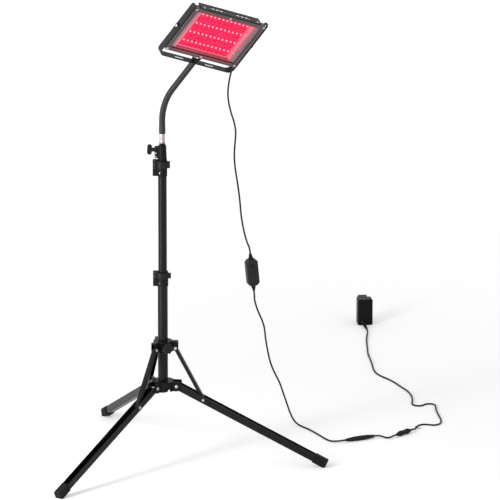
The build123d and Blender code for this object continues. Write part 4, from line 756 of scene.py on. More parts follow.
@dataclass(frozen=True)
class LitBoard(Finish):
    """The circuit board between the lamps, with its tracks, and the lamps' light on it painted as emitted colour."""

    name: str = "board"
    base: Colour = (0.10, 0.002, 0.012)
    # The painted light on the board: glow between the lamps, deep for the painted shade towards each lamp.
    glow: Colour = (0.80, 0.006, 0.085)
    deep: Colour = (0.52, 0.003, 0.045)
    track: Colour = (0.95, 0.05, 0.16)
    # Painted light towards the board's two ends.
    pale: Colour = (0.95, 0.16, 0.25)
    pitch_x: float = 11.5
    pitch_y: float = 12.6
    edge: float = 64.0

    def paint(self, graph: Graph, shader: Node) -> None:
        """Paints the lamps' light on the board as emitted colour, with painted shade deepening towards each lamp and
        painted light towards its ends, and draws the tracks between the lamps.

        Args:
            graph: The material's graph.
            shader: The shader to feed.
        """
        x, y, _ = graph.parts(graph.local(PANEL))
        cloud = graph.noise(graph.where(), 220.0)
        across, up = (
            graph.size(graph.minus(graph.math("FRACT", graph.plus(graph.over(value, pitch), 100.5)), 0.5))
            for value, pitch in ((x, self.pitch_x), (y, self.pitch_y))
        )
        lines = graph.most(graph.span(up, 0.47, 0.485), graph.span(across, 0.485, 0.495))
        # Painted shade that deepens towards each lamp.
        shade = graph.times(graph.span(graph.plus(across, up), 0.25, 0.95), graph.span(cloud, 0.3, 0.7, 0.6, 1.0))
        lit = graph.mix(graph.times(lines, 0.35), graph.mix(shade, self.glow, self.deep), self.track)
        # Painted light towards the board's two ends.
        lit = graph.mix(graph.span(x, -self.edge, -self.edge - 8.0, 0.0, 0.9), lit, self.pale)
        lit = graph.mix(graph.span(x, self.edge + 1.0, self.edge + 9.0, 0.0, 0.7), lit, self.pale)
        bump = graph.add("ShaderNodeBump", {"Strength": 0.4, "Distance": 0.05 * MM, "Height": lines})
        graph.feed(shader, {
            "Emission Color": lit, "Base Color": graph.mix(cloud, self.base, self.deep),
            "Roughness": graph.span(cloud, 0.2, 0.8, 0.4, 0.6), "Normal": bump.outputs[0],
            "Emission Strength": 0.95, "Specular IOR Level": 0.1,
        })


@dataclass(frozen=True)
class LampLens(Finish):
    """A clear domed lamp: its tip shines, and every second row is bright."""

    name: str = "lamp_lens"
    rim: Colour = (0.48, 0.002, 0.04)
    body: Colour = (0.88, 0.012, 0.11)
    shine: Colour = (1.0, 0.60, 0.68)
    # The painted highlight on one side of the quiet rows' lenses.
    soft: Colour = (1.0, 0.10, 0.24)
    base: Colour = (0.2, 0.002, 0.02)

    def paint(self, graph: Graph, shader: Node) -> None:
        """Lights the lens from its rim to its tip by the glow of its row; in the quiet rows it paints a highlight on
        one side and shade on the other.

        Args:
            graph: The material's graph.
            shader: The shader to feed.
        """
        rise, glow = (graph.add("ShaderNodeAttribute", attribute_name=name).outputs["Fac"] for name in ("rise", "glow"))
        cloud = graph.noise(graph.where(), 700.0)
        normal = graph.add("ShaderNodeNewGeometry").outputs["Normal"]
        # A fixed direction on the panel: the quiet lenses get a painted highlight on the side that faces it and painted
        # shade on the side away from it.
        lean = (PANEL.x * 0.75 - PANEL.y * 0.35 + PANEL.z * 0.55).normalized()
        side = graph.add("ShaderNodeVectorMath", {0: normal, 1: tuple(lean)}, operation="DOT_PRODUCT").outputs["Value"]
        body = graph.mix(graph.span(rise, 0.1, 0.5), self.rim, self.body)
        bright = graph.mix(graph.span(rise, 0.15, 0.6), body, self.shine)
        # Painted shade on the far side, then a painted highlight on the near side.
        shaded = graph.mix(graph.span(side, 0.35, -0.2), body, self.rim)
        quiet = graph.mix(graph.span(side, 0.55, 0.9), shaded, self.soft)
        graph.feed(shader, {
            "Emission Color": graph.mix(glow, quiet, bright), "Base Color": graph.mix(cloud, self.rim, self.base),
            "Roughness": graph.span(cloud, 0.2, 0.8, 0.12, 0.22), "Emission Strength": 1.0, "Specular IOR Level": 0.2,
        })


@dataclass(frozen=True)
class ClearGlass(Finish):
    """The tempered cover glass, with a trace of smears in its gloss."""

    name: str = "cover_glass"
    tint: Colour = (1.0, 0.95, 0.96)
    smeared: Colour = (0.97, 0.92, 0.93)
    rough: tuple[float, float] = (0.015, 0.05)
    bend: float = 1.15

    def paint(self, graph: Graph, shader: Node) -> None:
        """Tints the glass and varies its gloss.

        Args:
            graph: The material's graph.
            shader: The shader to feed.
        """
        stretched = graph.add("ShaderNodeMapping", {"Vector": graph.where(), "Scale": (1.0, 1.0, 3.0)}).outputs[0]
        smear = graph.noise(stretched, 14.0, 5.0)
        graph.feed(shader, {
            "Roughness": graph.span(smear, 0.35, 0.7, *self.rough), "IOR": self.bend, "Transmission Weight": 1.0,
            "Base Color": graph.mix(smear, self.tint, self.smeared),
        })


POWDER_COAT = Surface(
    "powder_coat", (0.006, 0.005, 0.006), (0.010, 0.009, 0.010), (0.05, 0.05, 0.055), 24.0, 2600.0, edge_wear_and_sheen=0.3,
    rough=(0.24, 0.34), bump=0.3, depth=0.05, specular=0.16,
)
MOULDING = Surface(
    "moulding", (0.006, 0.006, 0.0065), (0.010, 0.0095, 0.010), (0.035, 0.035, 0.04), 40.0, 3200.0, edge_wear_and_sheen=0.3,
    rough=(0.34, 0.5), bump=0.4, depth=0.05, specular=0.1,
)
FERRULE = Surface(
    "ferrule", (0.020, 0.019, 0.021), (0.028, 0.027, 0.029), (0.06, 0.06, 0.065), 60.0, 3000.0, edge_wear_and_sheen=0.3,
    rough=(0.4, 0.55), bump=0.5, depth=0.06, specular=0.3,
)
LEVER = Surface(
    "lever", (0.009, 0.009, 0.010), (0.014, 0.013, 0.014), (0.05, 0.045, 0.045), 60.0, 2800.0, edge_wear_and_sheen=0.45,
    rough=(0.3, 0.44), bump=0.35, depth=0.05, specular=0.14,
)
RUBBER = Surface(
    "rubber", (0.007, 0.007, 0.007), (0.011, 0.011, 0.011), (0.025, 0.025, 0.025), 80.0, 1600.0, edge_wear_and_sheen=0.25,
    rough=(0.6, 0.8), bump=0.5, depth=0.1, specular=0.12,
)
STEEL = Surface(
    "zinc_steel", (0.60, 0.60, 0.62), (0.48, 0.48, 0.50), (0.75, 0.75, 0.77), 120.0, 3000.0, (1.0, 1.0, 4.0),
    edge_wear_and_sheen=0.5, rough=(0.22, 0.38), bump=0.15, depth=0.02, metallic=1.0, specular=0.5,
)
WORN_STEEL = Surface(
    "worn_steel", (0.20, 0.19, 0.20), (0.14, 0.135, 0.14), (0.4, 0.4, 0.4), 120.0, 3000.0, edge_wear_and_sheen=0.5,
    rough=(0.3, 0.45), bump=0.2, depth=0.02, metallic=0.9, specular=0.4,
)
BLACK_STEEL = Surface(
    "black_steel", (0.030, 0.029, 0.030), (0.045, 0.044, 0.045), (0.12, 0.12, 0.12), 120.0, 3000.0, edge_wear_and_sheen=0.5,
    rough=(0.3, 0.45), bump=0.2, depth=0.02, metallic=0.6, specular=0.3,
)
# Its darker shade runs in long vertical streaks: a painted reflection on the chrome.
CHROME = Surface(
    "chrome", (0.72, 0.68, 0.69), (0.22, 0.19, 0.20), (0.9, 0.9, 0.9), 260.0, 1800.0, (1.0, 1.0, 0.03), edge_wear_and_sheen=0.1,
    rough=(0.06, 0.16), bump=0.05, depth=0.02, metallic=1.0, specular=0.5,
)
SLEEVE = RubberSleeve(
    "neck_sleeve", (0.015, 0.013, 0.016), (0.022, 0.020, 0.023), (0.035, 0.033, 0.037), 36.0, 2400.0, edge_wear_and_sheen=0.0,
    rough=(0.38, 0.5), bump=0.3, depth=0.08, specular=0.25,
)
PANEL_METAL = Surface(
    "panel_metal", (0.10, 0.09, 0.095), (0.13, 0.115, 0.12), (0.4, 0.38, 0.39), 20.0, 1500.0, (1.0, 24.0, 24.0),
    edge_wear_and_sheen=0.45, rough=(0.3, 0.42), bump=0.2, depth=0.03, metallic=0.85, specular=0.4, place=PANEL,
)
FRAME_METAL = LitFrame(
    "frame_metal", (0.095, 0.072, 0.080), (0.12, 0.092, 0.10), (0.42, 0.38, 0.39), 20.0, 1500.0, (1.0, 24.0, 24.0),
    edge_wear_and_sheen=0.5, rough=(0.3, 0.42), bump=0.2, depth=0.03, metallic=0.6, specular=0.4, place=PANEL,
)
BRACKET_COAT = Surface(
    "bracket_coat", (0.016, 0.014, 0.017), (0.022, 0.020, 0.023), (0.07, 0.07, 0.075), 26.0, 2400.0, edge_wear_and_sheen=0.35,
    rough=(0.34, 0.48), bump=0.35, depth=0.06, specular=0.25,
)
JACKET = CordJacket(
    "cord_jacket", (0.012, 0.012, 0.014), (0.018, 0.018, 0.020), (0.03, 0.03, 0.032), 60.0, 2000.0, edge_wear_and_sheen=0.0,
    rough=(0.42, 0.6), bump=0.2, depth=0.05, specular=0.18,
)
MOULDED_END = Surface(
    "moulded_end", (0.008, 0.008, 0.009), (0.012, 0.012, 0.013), (0.035, 0.035, 0.04), 90.0, 2600.0, edge_wear_and_sheen=0.35,
    rough=(0.4, 0.55), bump=0.35, depth=0.05, specular=0.18,
)
CONTROLLER_SHELL = SeamedShell(
    "controller_shell", (0.013, 0.012, 0.015), (0.020, 0.019, 0.022), (0.06, 0.06, 0.065), 40.0, 2600.0, edge_wear_and_sheen=0.4,
    rough=(0.34, 0.5), bump=0.35, depth=0.05, specular=0.16, place=CONTROLLER,
)
ADAPTER_SHELL = SeamedShell(
    "adapter_shell", (0.006, 0.006, 0.006), (0.009, 0.009, 0.009), (0.035, 0.035, 0.04), 30.0, 2800.0, edge_wear_and_sheen=0.3,
    rough=(0.3, 0.46), bump=0.35, depth=0.05, specular=0.07, place=ADAPTER,
)
INDICATOR = Surface(
    "indicator", (0.045, 0.05, 0.085), (0.06, 0.065, 0.10), (0.2, 0.2, 0.25), 300.0, 2000.0, edge_wear_and_sheen=0.0,
    rough=(0.1, 0.2), bump=0.05, depth=0.01, specular=0.5, coat=0.4,
)
REFLECTOR, BOARD, LENS, GLASS = PanelBorder(), LitBoard(), LampLens(), ClearGlass()


def dress(finish: Finish, *nodes: str) -> None:
    """Gives carried-over solids a finish.

    Args:
        finish: The finish.
        *nodes: The names of the solids.
    """
    for node in nodes:
        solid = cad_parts[node]
        if not solid.material_slots:
            solid.data.materials.append(finish.material())
        for held in solid.material_slots:
            held.material = finish.material()
        LOG.info("dressed %s with %s", node, finish.name)


def settle(piece: Object, body: str, slot: str, *replaced: str) -> None:
    """Makes a finished piece ride on a body.

    Args:
        piece: The piece.
        body: The body that it moves with.
        slot: Not used.
        *replaced: The solids that it stands for.
    """
    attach(piece, body)
    if replaced:
        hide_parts(*replaced)
    LOG.info("made %s on %s", piece.name, body)


def turn_piece(
    name: str, profile: Sequence[tuple[float, float]], segments: int, place: Place, finish: Finish, body: str,
    slot: str, *replaced: str, ridges: int = 0, ridge: float = 0.0,
) -> None:
    """Makes a turned piece at a place, and settles it on a body.

    Args:
        name: The piece's name.
        profile: Radius and height of each ring, in millimetres.
        segments: How many corners each ring has.
        place: Where its foot is, with its axis along z.
        finish: Its finish.
        body: The body that it moves with.
        slot: Not used.
        *replaced: The solids that it stands for.
        ridges: How many ridges run along it.
        ridge: How deep the grooves between them are.
    """
    mesh = lathe(name, profile, segments, ridges, ridge)
    mesh.transform(place.matrix())
    mesh.materials.append(finish.material())
    settle(shown(name, mesh), body, slot, *replaced)


# ------------------------------------------------------------------ geometry node trees


class Pattern(Enum):
    """The shapes that a tree can grow."""

    ON_MARKS = "set_on_marks"
    RIBBED = "ribbed_skin"
    LAMP_GRID = "lamp_grid"


class Growth:
    """Geometry node trees, and the plain meshes that they grow."""

    @classmethod
    @cache
    def tree(cls, pattern: Pattern) -> Tree:
        """The tree of a pattern, built once."""
        made = {Pattern.ON_MARKS: cls._on_marks, Pattern.RIBBED: cls._ribbed, Pattern.LAMP_GRID: cls._lamp_grid}
        return made[pattern]()

    @staticmethod
    def _end(graph: Graph, given: Node, made: Node, shape: Socket) -> Tree:
        """Ends a tree: what it set becomes real and gets the material.

        Args:
            graph: The tree's graph.
            given: Its group input.
            made: Its group output.
            shape: What it has made so far.

        Returns:
            The tree.
        """
        real = graph.add("GeometryNodeRealizeInstances", {0: shape}).outputs[0]
        finished = graph.add("GeometryNodeSetMaterial", {"Geometry": real, "Material": given.outputs["Material"]})
        graph.feed(made, {0: finished.outputs[0]})
        return graph.tree

    @classmethod
    def _on_marks(cls) -> Tree:
        """Sets a shape on every mark, turned to the mark's own directions.

        Returns:
            The tree.
        """
        graph, given, made = new_tree(
            Pattern.ON_MARKS.value, "GeometryNodeTree",
            [("Marks", "Geometry"), ("Shape", "Object"), ("Size", "Float"), ("Material", "Material")],
            [("Geometry", "Geometry")],
        )
        get = given.outputs
        aim, side = (
            graph.add("GeometryNodeInputNamedAttribute", {"Name": name}, data_type="FLOAT_VECTOR").outputs[0]
            for name in ("aim", "side")
        )
        turn = "FunctionNodeAlignRotationToVector"
        upright = graph.add(turn, {"Vector": aim}, axis="Z").outputs[0]
        turned = graph.add(turn, {"Rotation": upright, "Vector": side}, axis="X", pivot_axis="Z").outputs[0]
        shape = graph.add("GeometryNodeObjectInfo", {"Object": get["Shape"]}).outputs["Geometry"]
        placed = graph.add("GeometryNodeInstanceOnPoints", {
            "Points": get["Marks"], "Instance": shape, "Rotation": turned, "Scale": get["Size"],
        }).outputs[0]
        return cls._end(graph, given, made, placed)

    @classmethod
    def _ribbed(cls) -> Tree:
        """Sweeps a round skin that narrows along a line, with ribs round part of it.

        Returns:
            The tree.
        """
        sizes = ("Radius", "End Radius", "Rib Depth", "Rib Pitch", "Rib Start", "Rib End", "Step")
        graph, given, made = new_tree(
            Pattern.RIBBED.value, "GeometryNodeTree",
            [("Line", "Geometry"), *((name, "Float") for name in sizes), ("Sides", "Int"), ("Material", "Material")],
            [("Geometry", "Geometry")],
        )
        get = given.outputs
        line = graph.add("GeometryNodeMeshToCurve", {"Mesh": get["Line"]}).outputs[0]
        fine = graph.add("GeometryNodeResampleCurve", {"Curve": line, "Length": get["Step"]}, mode="LENGTH").outputs[0]
        along = graph.add("GeometryNodeSplineParameter").outputs
        run = along["Length"]
        wave = graph.math("SINE", graph.over(graph.times(run, 2 * math.pi), get["Rib Pitch"]))
        after, before = graph.math("GREATER_THAN", run, get["Rib Start"]), graph.math("LESS_THAN", run, get["Rib End"])
        groove = graph.times(graph.times(graph.span(wave, -0.35, 0.35), graph.times(after, before)), get["Rib Depth"])
        radius = graph.minus(graph.level(along["Factor"], get["Radius"], get["End Radius"]), groove)
        ring = graph.add("GeometryNodeCurvePrimitiveCircle", {"Resolution": get["Sides"], "Radius": 1.0}).outputs[0]
        skin = graph.add("GeometryNodeCurveToMesh", {
            "Curve": fine, "Profile Curve": ring, "Scale": radius, "Fill Caps": True,
        }).outputs[0]
        return cls._end(graph, given, made, skin)

    @classmethod
    def _lamp_grid(cls) -> Tree:
        """Sets lamps in columns and rows, and marks every second row as bright.

        Returns:
            The tree.
        """
        graph, given, made = new_tree(
            Pattern.LAMP_GRID.value, "GeometryNodeTree",
            [("Base", "Geometry"), ("Shape", "Object"), ("Columns", "Int"), ("Rows", "Int"), ("Pitch X", "Float"),
             ("Pitch Y", "Float"), ("Material", "Material")],
            [("Geometry", "Geometry")],
        )
        get = given.outputs
        width = graph.times(graph.minus(get["Columns"], 1.0), get["Pitch X"])
        height = graph.times(graph.minus(get["Rows"], 1.0), get["Pitch Y"])
        grid = graph.add("GeometryNodeMeshGrid", {
            "Size X": width, "Size Y": height, "Vertices X": get["Columns"], "Vertices Y": get["Rows"],
        }).outputs["Mesh"]
        y = graph.parts(graph.add("GeometryNodeInputPosition").outputs[0])[1]
        row = graph.math("ROUND", graph.over(graph.plus(y, graph.times(height, 0.5)), get["Pitch Y"]))
        marked = graph.add("GeometryNodeStoreNamedAttribute", {
            "Geometry": grid, "Name": "glow", "Value": graph.math("MODULO", row, 2.0),
        }, data_type="FLOAT", domain="POINT").outputs[0]
        shape = graph.add("GeometryNodeObjectInfo", {"Object": get["Shape"]}).outputs["Geometry"]
        placed = graph.add("GeometryNodeInstanceOnPoints", {"Points": marked, "Instance": shape}).outputs[0]
        return cls._end(graph, given, made, placed)

    @classmethod
    def grow(cls, name: str, base: Mesh, pattern: Pattern, values: dict, place: Matrix | None = None) -> Object:
        """Runs a tree over a base mesh and keeps the result as a plain mesh.

        Args:
            name: The piece's name.
            base: The marks or the line that the tree starts from.
            pattern: Which tree.
            values: Its inputs by name.
            place: Where the result goes, if it is grown at the origin.

        Returns:
            The piece.
        """
        tree = cls.tree(pattern)
        holder = shown(f"{name}_base", base)
        modifier = holder.modifiers.new("grow", "NODES")
        modifier.node_group = tree
        for item in tree.interface.items_tree:
            if item.item_type == "SOCKET" and item.in_out == "INPUT" and item.name in values:
                modifier[item.identifier] = values[item.name]
        bpy.context.view_layer.update()
        graph = bpy.context.evaluated_depsgraph_get()
        mesh = bpy.data.meshes.new_from_object(
            holder.evaluated_get(graph), preserve_all_data_layers=True, depsgraph=graph,
        )
        bpy.data.objects.remove(holder)
        for spare in ("aim", "side"):
            if spare in mesh.attributes:
                mesh.attributes.remove(mesh.attributes[spare])
        if place is not None:
            mesh.transform(place)
        smooth(mesh)
        if not mesh.polygons:
            raise ValueError(f"{name} grew nothing")
        return shown(name, mesh)


@dataclass(frozen=True)
class Ribbed:
    """A tapered round skin with ribs, in millimetres: its two radii, and its ribs' depth, pitch and stretch."""

    radius: float
    end_radius: float
    depth: float
    pitch: float
    ribs: tuple[float, float]
    step: float = 0.25
    sides: int = 28

    def make(self, name: str, start: Vector, end: Vector, finish: Finish) -> Object:
        """Makes the skin along a straight line.

        Args:
            name: The piece's name.
            start: Where it starts, in metres.
            end: Where it ends, in metres.
            finish: Its finish.

        Returns:
            The piece.
        """
        line = bpy.data.meshes.new(f"{name}_line")
        line.from_pydata([tuple(start), tuple(end)], [(0, 1)], [])
        sizes = {
            "Radius": self.radius, "End Radius": self.end_radius, "Rib Depth": self.depth, "Rib Pitch": self.pitch,
            "Rib Start": self.ribs[0], "Rib End": self.ribs[1], "Step": self.step,
        }
        values = {label: size * MM for label, size in sizes.items()}
        return Growth.grow(name, line, Pattern.RIBBED, {**values, "Sides": self.sides, "Material": finish.material()})


# ------------------------------------------------------------------ fasteners


class Recess(Enum):
    """The recess of a screw's head: its reach, half its slots' width and its depth, as shares of the head."""

    CROSS = (0.62, 0.2, 0.55)
    HEX_SOCKET = (0.5, 1.0, 0.6)


def rivet_head(radius: float, height: float) -> Mesh:
    """A domed head, in millimetres, with its top along z.

    Args:
        radius: Its radius.
        height: Its height above what it sits on.

    Returns:
        The mesh.
    """
    steps = [math.radians(angle) for angle in (0, 18, 36, 54, 70, 82)]
    dome = [(radius * math.cos(step), height * math.sin(step)) for step in steps]
    return lathe("rivet", [(0.0, 0.0), *dome, (radius * 0.08, height * 0.96), (0.0, height * 0.94)], 20)


def screw_head(recess: Recess, radius: float, height: float, shank: float = 0.0) -> Mesh:
    """The head of a screw, in millimetres.

    Args:
        recess: The recess for its driver.
        radius: Its radius.
        height: Its height above what it sits on.
        shank: How far it reaches down into what it holds.

    Returns:
        The mesh, with its top along z.
    """
    reach, slot, deep = recess.value
    rings, segments = (1.0, 0.97, 0.85, 0.7, 0.62, 0.6, 0.45, 0.3, 0.2, 0.12), 24
    steps = round_steps(segments)
    corners = [Vector((0, 0, -shank))]
    corners += [Vector((cosine, sine, 0)) * radius - Vector((0, 0, shank)) for cosine, sine in steps]
    for share in rings:
        for cosine, sine in steps:
            x, y = share * cosine, share * sine
            level = height * (1 - 0.55 * share**3) if share < 1 else height * 0.25
            if share < reach and min(abs(x), abs(y)) < slot:
                level -= height * deep
            corners.append(Vector((x * radius, y * radius, level)))
    corners.append(Vector((0, 0, height * (1 - deep))))
    faces: list[Sequence[int]] = []
    for number in range(segments):
        following = (number + 1) % segments
        faces.append((0, 1 + following, 1 + number))
        for ring in range(len(rings)):
            low = 1 + ring * segments
            faces.append((low + number, low + following, low + segments + following, low + segments + number))
        last = 1 + len(rings) * segments
        faces.append((last + number, last + following, len(corners) - 1))
    return closed_mesh("screw", corners, faces)


def fasten(name: str, head: Mesh, places: Sequence[Place], finish: Finish, body: str, *replaced: str) -> None:
    """Sets copies of a head at several places, and settles them on a body.

    Args:
        name: The piece's name.
        head: The head, in millimetres, its foot at its origin and its top along z.
        places: Where each copy goes.
        finish: The finish of all of them.
        body: The body that they move with.
        *replaced: The solids that they stand for.
    """
    marks = bpy.data.meshes.new(f"{name}_marks")
    marks.from_pydata([tuple(place.origin * MM) for place in places], [], [])
    for label, ways in (("aim", [place.z for place in places]), ("side", [place.x for place in places])):
        values = marks.attributes.new(label, "FLOAT_VECTOR", "POINT")
        values.data.foreach_set("vector", [number for way in ways for number in way])
    shape = shown(f"{name}_shape", head)
    made = Growth.grow(name, marks, Pattern.ON_MARKS, {"Shape": shape, "Size": MM, "Material": finish.material()})
    bpy.data.objects.remove(shape)
    settle(made, body, "steel", *replaced)


# ------------------------------------------------------------------ camera and studio


@dataclass(frozen=True)
class SoftLight:
    """A tall soft light: its place, what it faces, its width and height in metres, and its power."""

    name: str
    place: Point
    target: Point
    size: tuple[float, float]
    watts: float

    def build(self) -> None:
        """Adds the light."""
        data = bpy.data.lights.new(self.name, "AREA")
        data.shape, data.energy = "RECTANGLE", self.watts
        data.size, data.size_y = self.size
        place = Vector(self.place)
        turn = (Vector(self.target) - place).to_track_quat("-Z", "Y").to_matrix().to_4x4()
        light = bpy.data.objects.new(self.name, data)
        light.matrix_world = Matrix.Translation(place) @ turn
        bpy.context.scene.collection.objects.link(light)


@dataclass
class Studio:
    """The camera, the soft lights, and the pale floor. Its sizes are in metres."""

    eye: Point = (2.394258, -15.090726, 4.773524)
    right: Point = (0.98952579, 0.1443562, 0.0)
    up: Point = (-0.03906285, 0.26776612, 0.96269175)
    back: Point = (0.13897052, -0.95260831, 0.27060045)
    lens: float = 523.6
    lights: Sequence[SoftLight] = (
        SoftLight("key", (-1.6, -1.8, 1.7), (0.1, 0.1, 0.5), (0.7, 1.7), 26.0),
        SoftLight("side", (2.3, -0.6, 1.6), (0.1, 0.1, 0.6), (0.5, 1.2), 3.12),
        SoftLight("low_strip", (-0.70, -0.82, 0.52), (0.0, 0.0, 0.52), (0.12, 1.0), 8.0),
    )
    white: Colour = (1.0, 1.0, 1.0)
    sky: float = 0.62
    floor_size: float = 14.0
    floor_colour: Colour = (0.9, 0.9, 0.9)
    middle: Point = (0.15, 0.2, 0.0)
    lift_from: tuple[float, float] = (0.5, 2.6)
    lift: tuple[float, float] = (0.26, 0.5)

    def build(self) -> None:
        """Makes the camera, the lights, the world and the floor."""
        scene = bpy.context.scene
        scene.view_settings.view_transform = "Standard"
        data = bpy.data.cameras.new("camera")
        data.lens, data.sensor_width, data.clip_start, data.clip_end = self.lens, 36.0, 1.0, 60.0
        camera = bpy.data.objects.new("camera", data)
        scene.collection.objects.link(camera)
        turn = Matrix((self.right, self.up, self.back)).transposed().to_4x4()
        camera.matrix_world = Matrix.Translation(Vector(self.eye)) @ turn
        scene.camera = camera
        for light in self.lights:
            light.build()
        self._world(scene)
        self._floor()

    def _world(self, scene: bpy.types.Scene) -> None:
        """Makes the surroundings white to look at and softer as a light.

        Args:
            scene: The scene that is lit.
        """
        world = bpy.data.worlds.new("studio")
        scene.world = world
        world.use_nodes = True
        graph = Graph(world.node_tree)
        strength = graph.level(graph.seen(), self.sky, 1.0)
        graph.feed(world.node_tree.nodes["Background"], {"Color": self.white, "Strength": strength})

    def _floor(self) -> None:
        """Lays the pale floor, which is white where no shadow falls."""
        half = self.floor_size / 2
        mesh = bpy.data.meshes.new("floor")
        mesh.from_pydata([(-half, -half, 0), (half, -half, 0), (half, half, 0), (-half, half, 0)], [], [(0, 1, 2, 3)])
        floor = shown("floor", mesh)
        material = bpy.data.materials.new("floor")
        material.use_nodes = True
        graph = Graph(material.node_tree)
        away = graph.add("ShaderNodeVectorMath", {0: graph.where(), 1: self.middle}, operation="DISTANCE").outputs
        lift = graph.span(away["Value"], *self.lift_from, *self.lift)
        graph.feed(material.node_tree.nodes["Principled BSDF"], {
            "Base Color": self.floor_colour, "Roughness": 0.9, "Specular IOR Level": 0.0, "Emission Color": self.white,
            "Emission Strength": graph.times(graph.seen(), lift),
        })
        mesh.materials.append(material)


# ------------------------------------------------------------------ cords


def route_curve(name: str, route: Sequence[Point], thickness: float) -> Object:
    """A smooth open curve with a cord's route as its control points.

    Args:
        name: The curve's name.
        route: The control points, in metres.
        thickness: The cord's radius in metres, or 0 for a bare line.

    Returns:
        The curve's object.
    """
    curve = bpy.data.curves.new(name, "CURVE")
    curve.dimensions = "3D"
    curve.bevel_depth, curve.bevel_resolution, curve.use_fill_caps = thickness, 4, thickness > 0
    spline = curve.splines.new("NURBS")
    spline.points.add(len(route) - 1)
    for point, place in zip(spline.points, route):
        point.co = (*place, 1.0)
    spline.order_u = 3
    spline.use_endpoint_u = True
    spline.resolution_u = 10
    return shown(name, curve)


def read_line(route: Sequence[Point]) -> list[Vector]:
    """The points of a route's smooth curve.

    Args:
        route: The control points, in metres.

    Returns:
        The points.
    """
    holder = route_curve("bare_line", route, 0.0)
    bpy.context.view_layer.update()
    mesh = bpy.data.meshes.new_from_object(holder)
    points = [vertex.co.copy() for vertex in mesh.vertices]
    bpy.data.objects.remove(holder)
    return points


def run_length(points: Sequence[Vector]) -> float:
    """The length of a line through points."""
    return sum((after - before).length for before, after in zip(points, points[1:]))


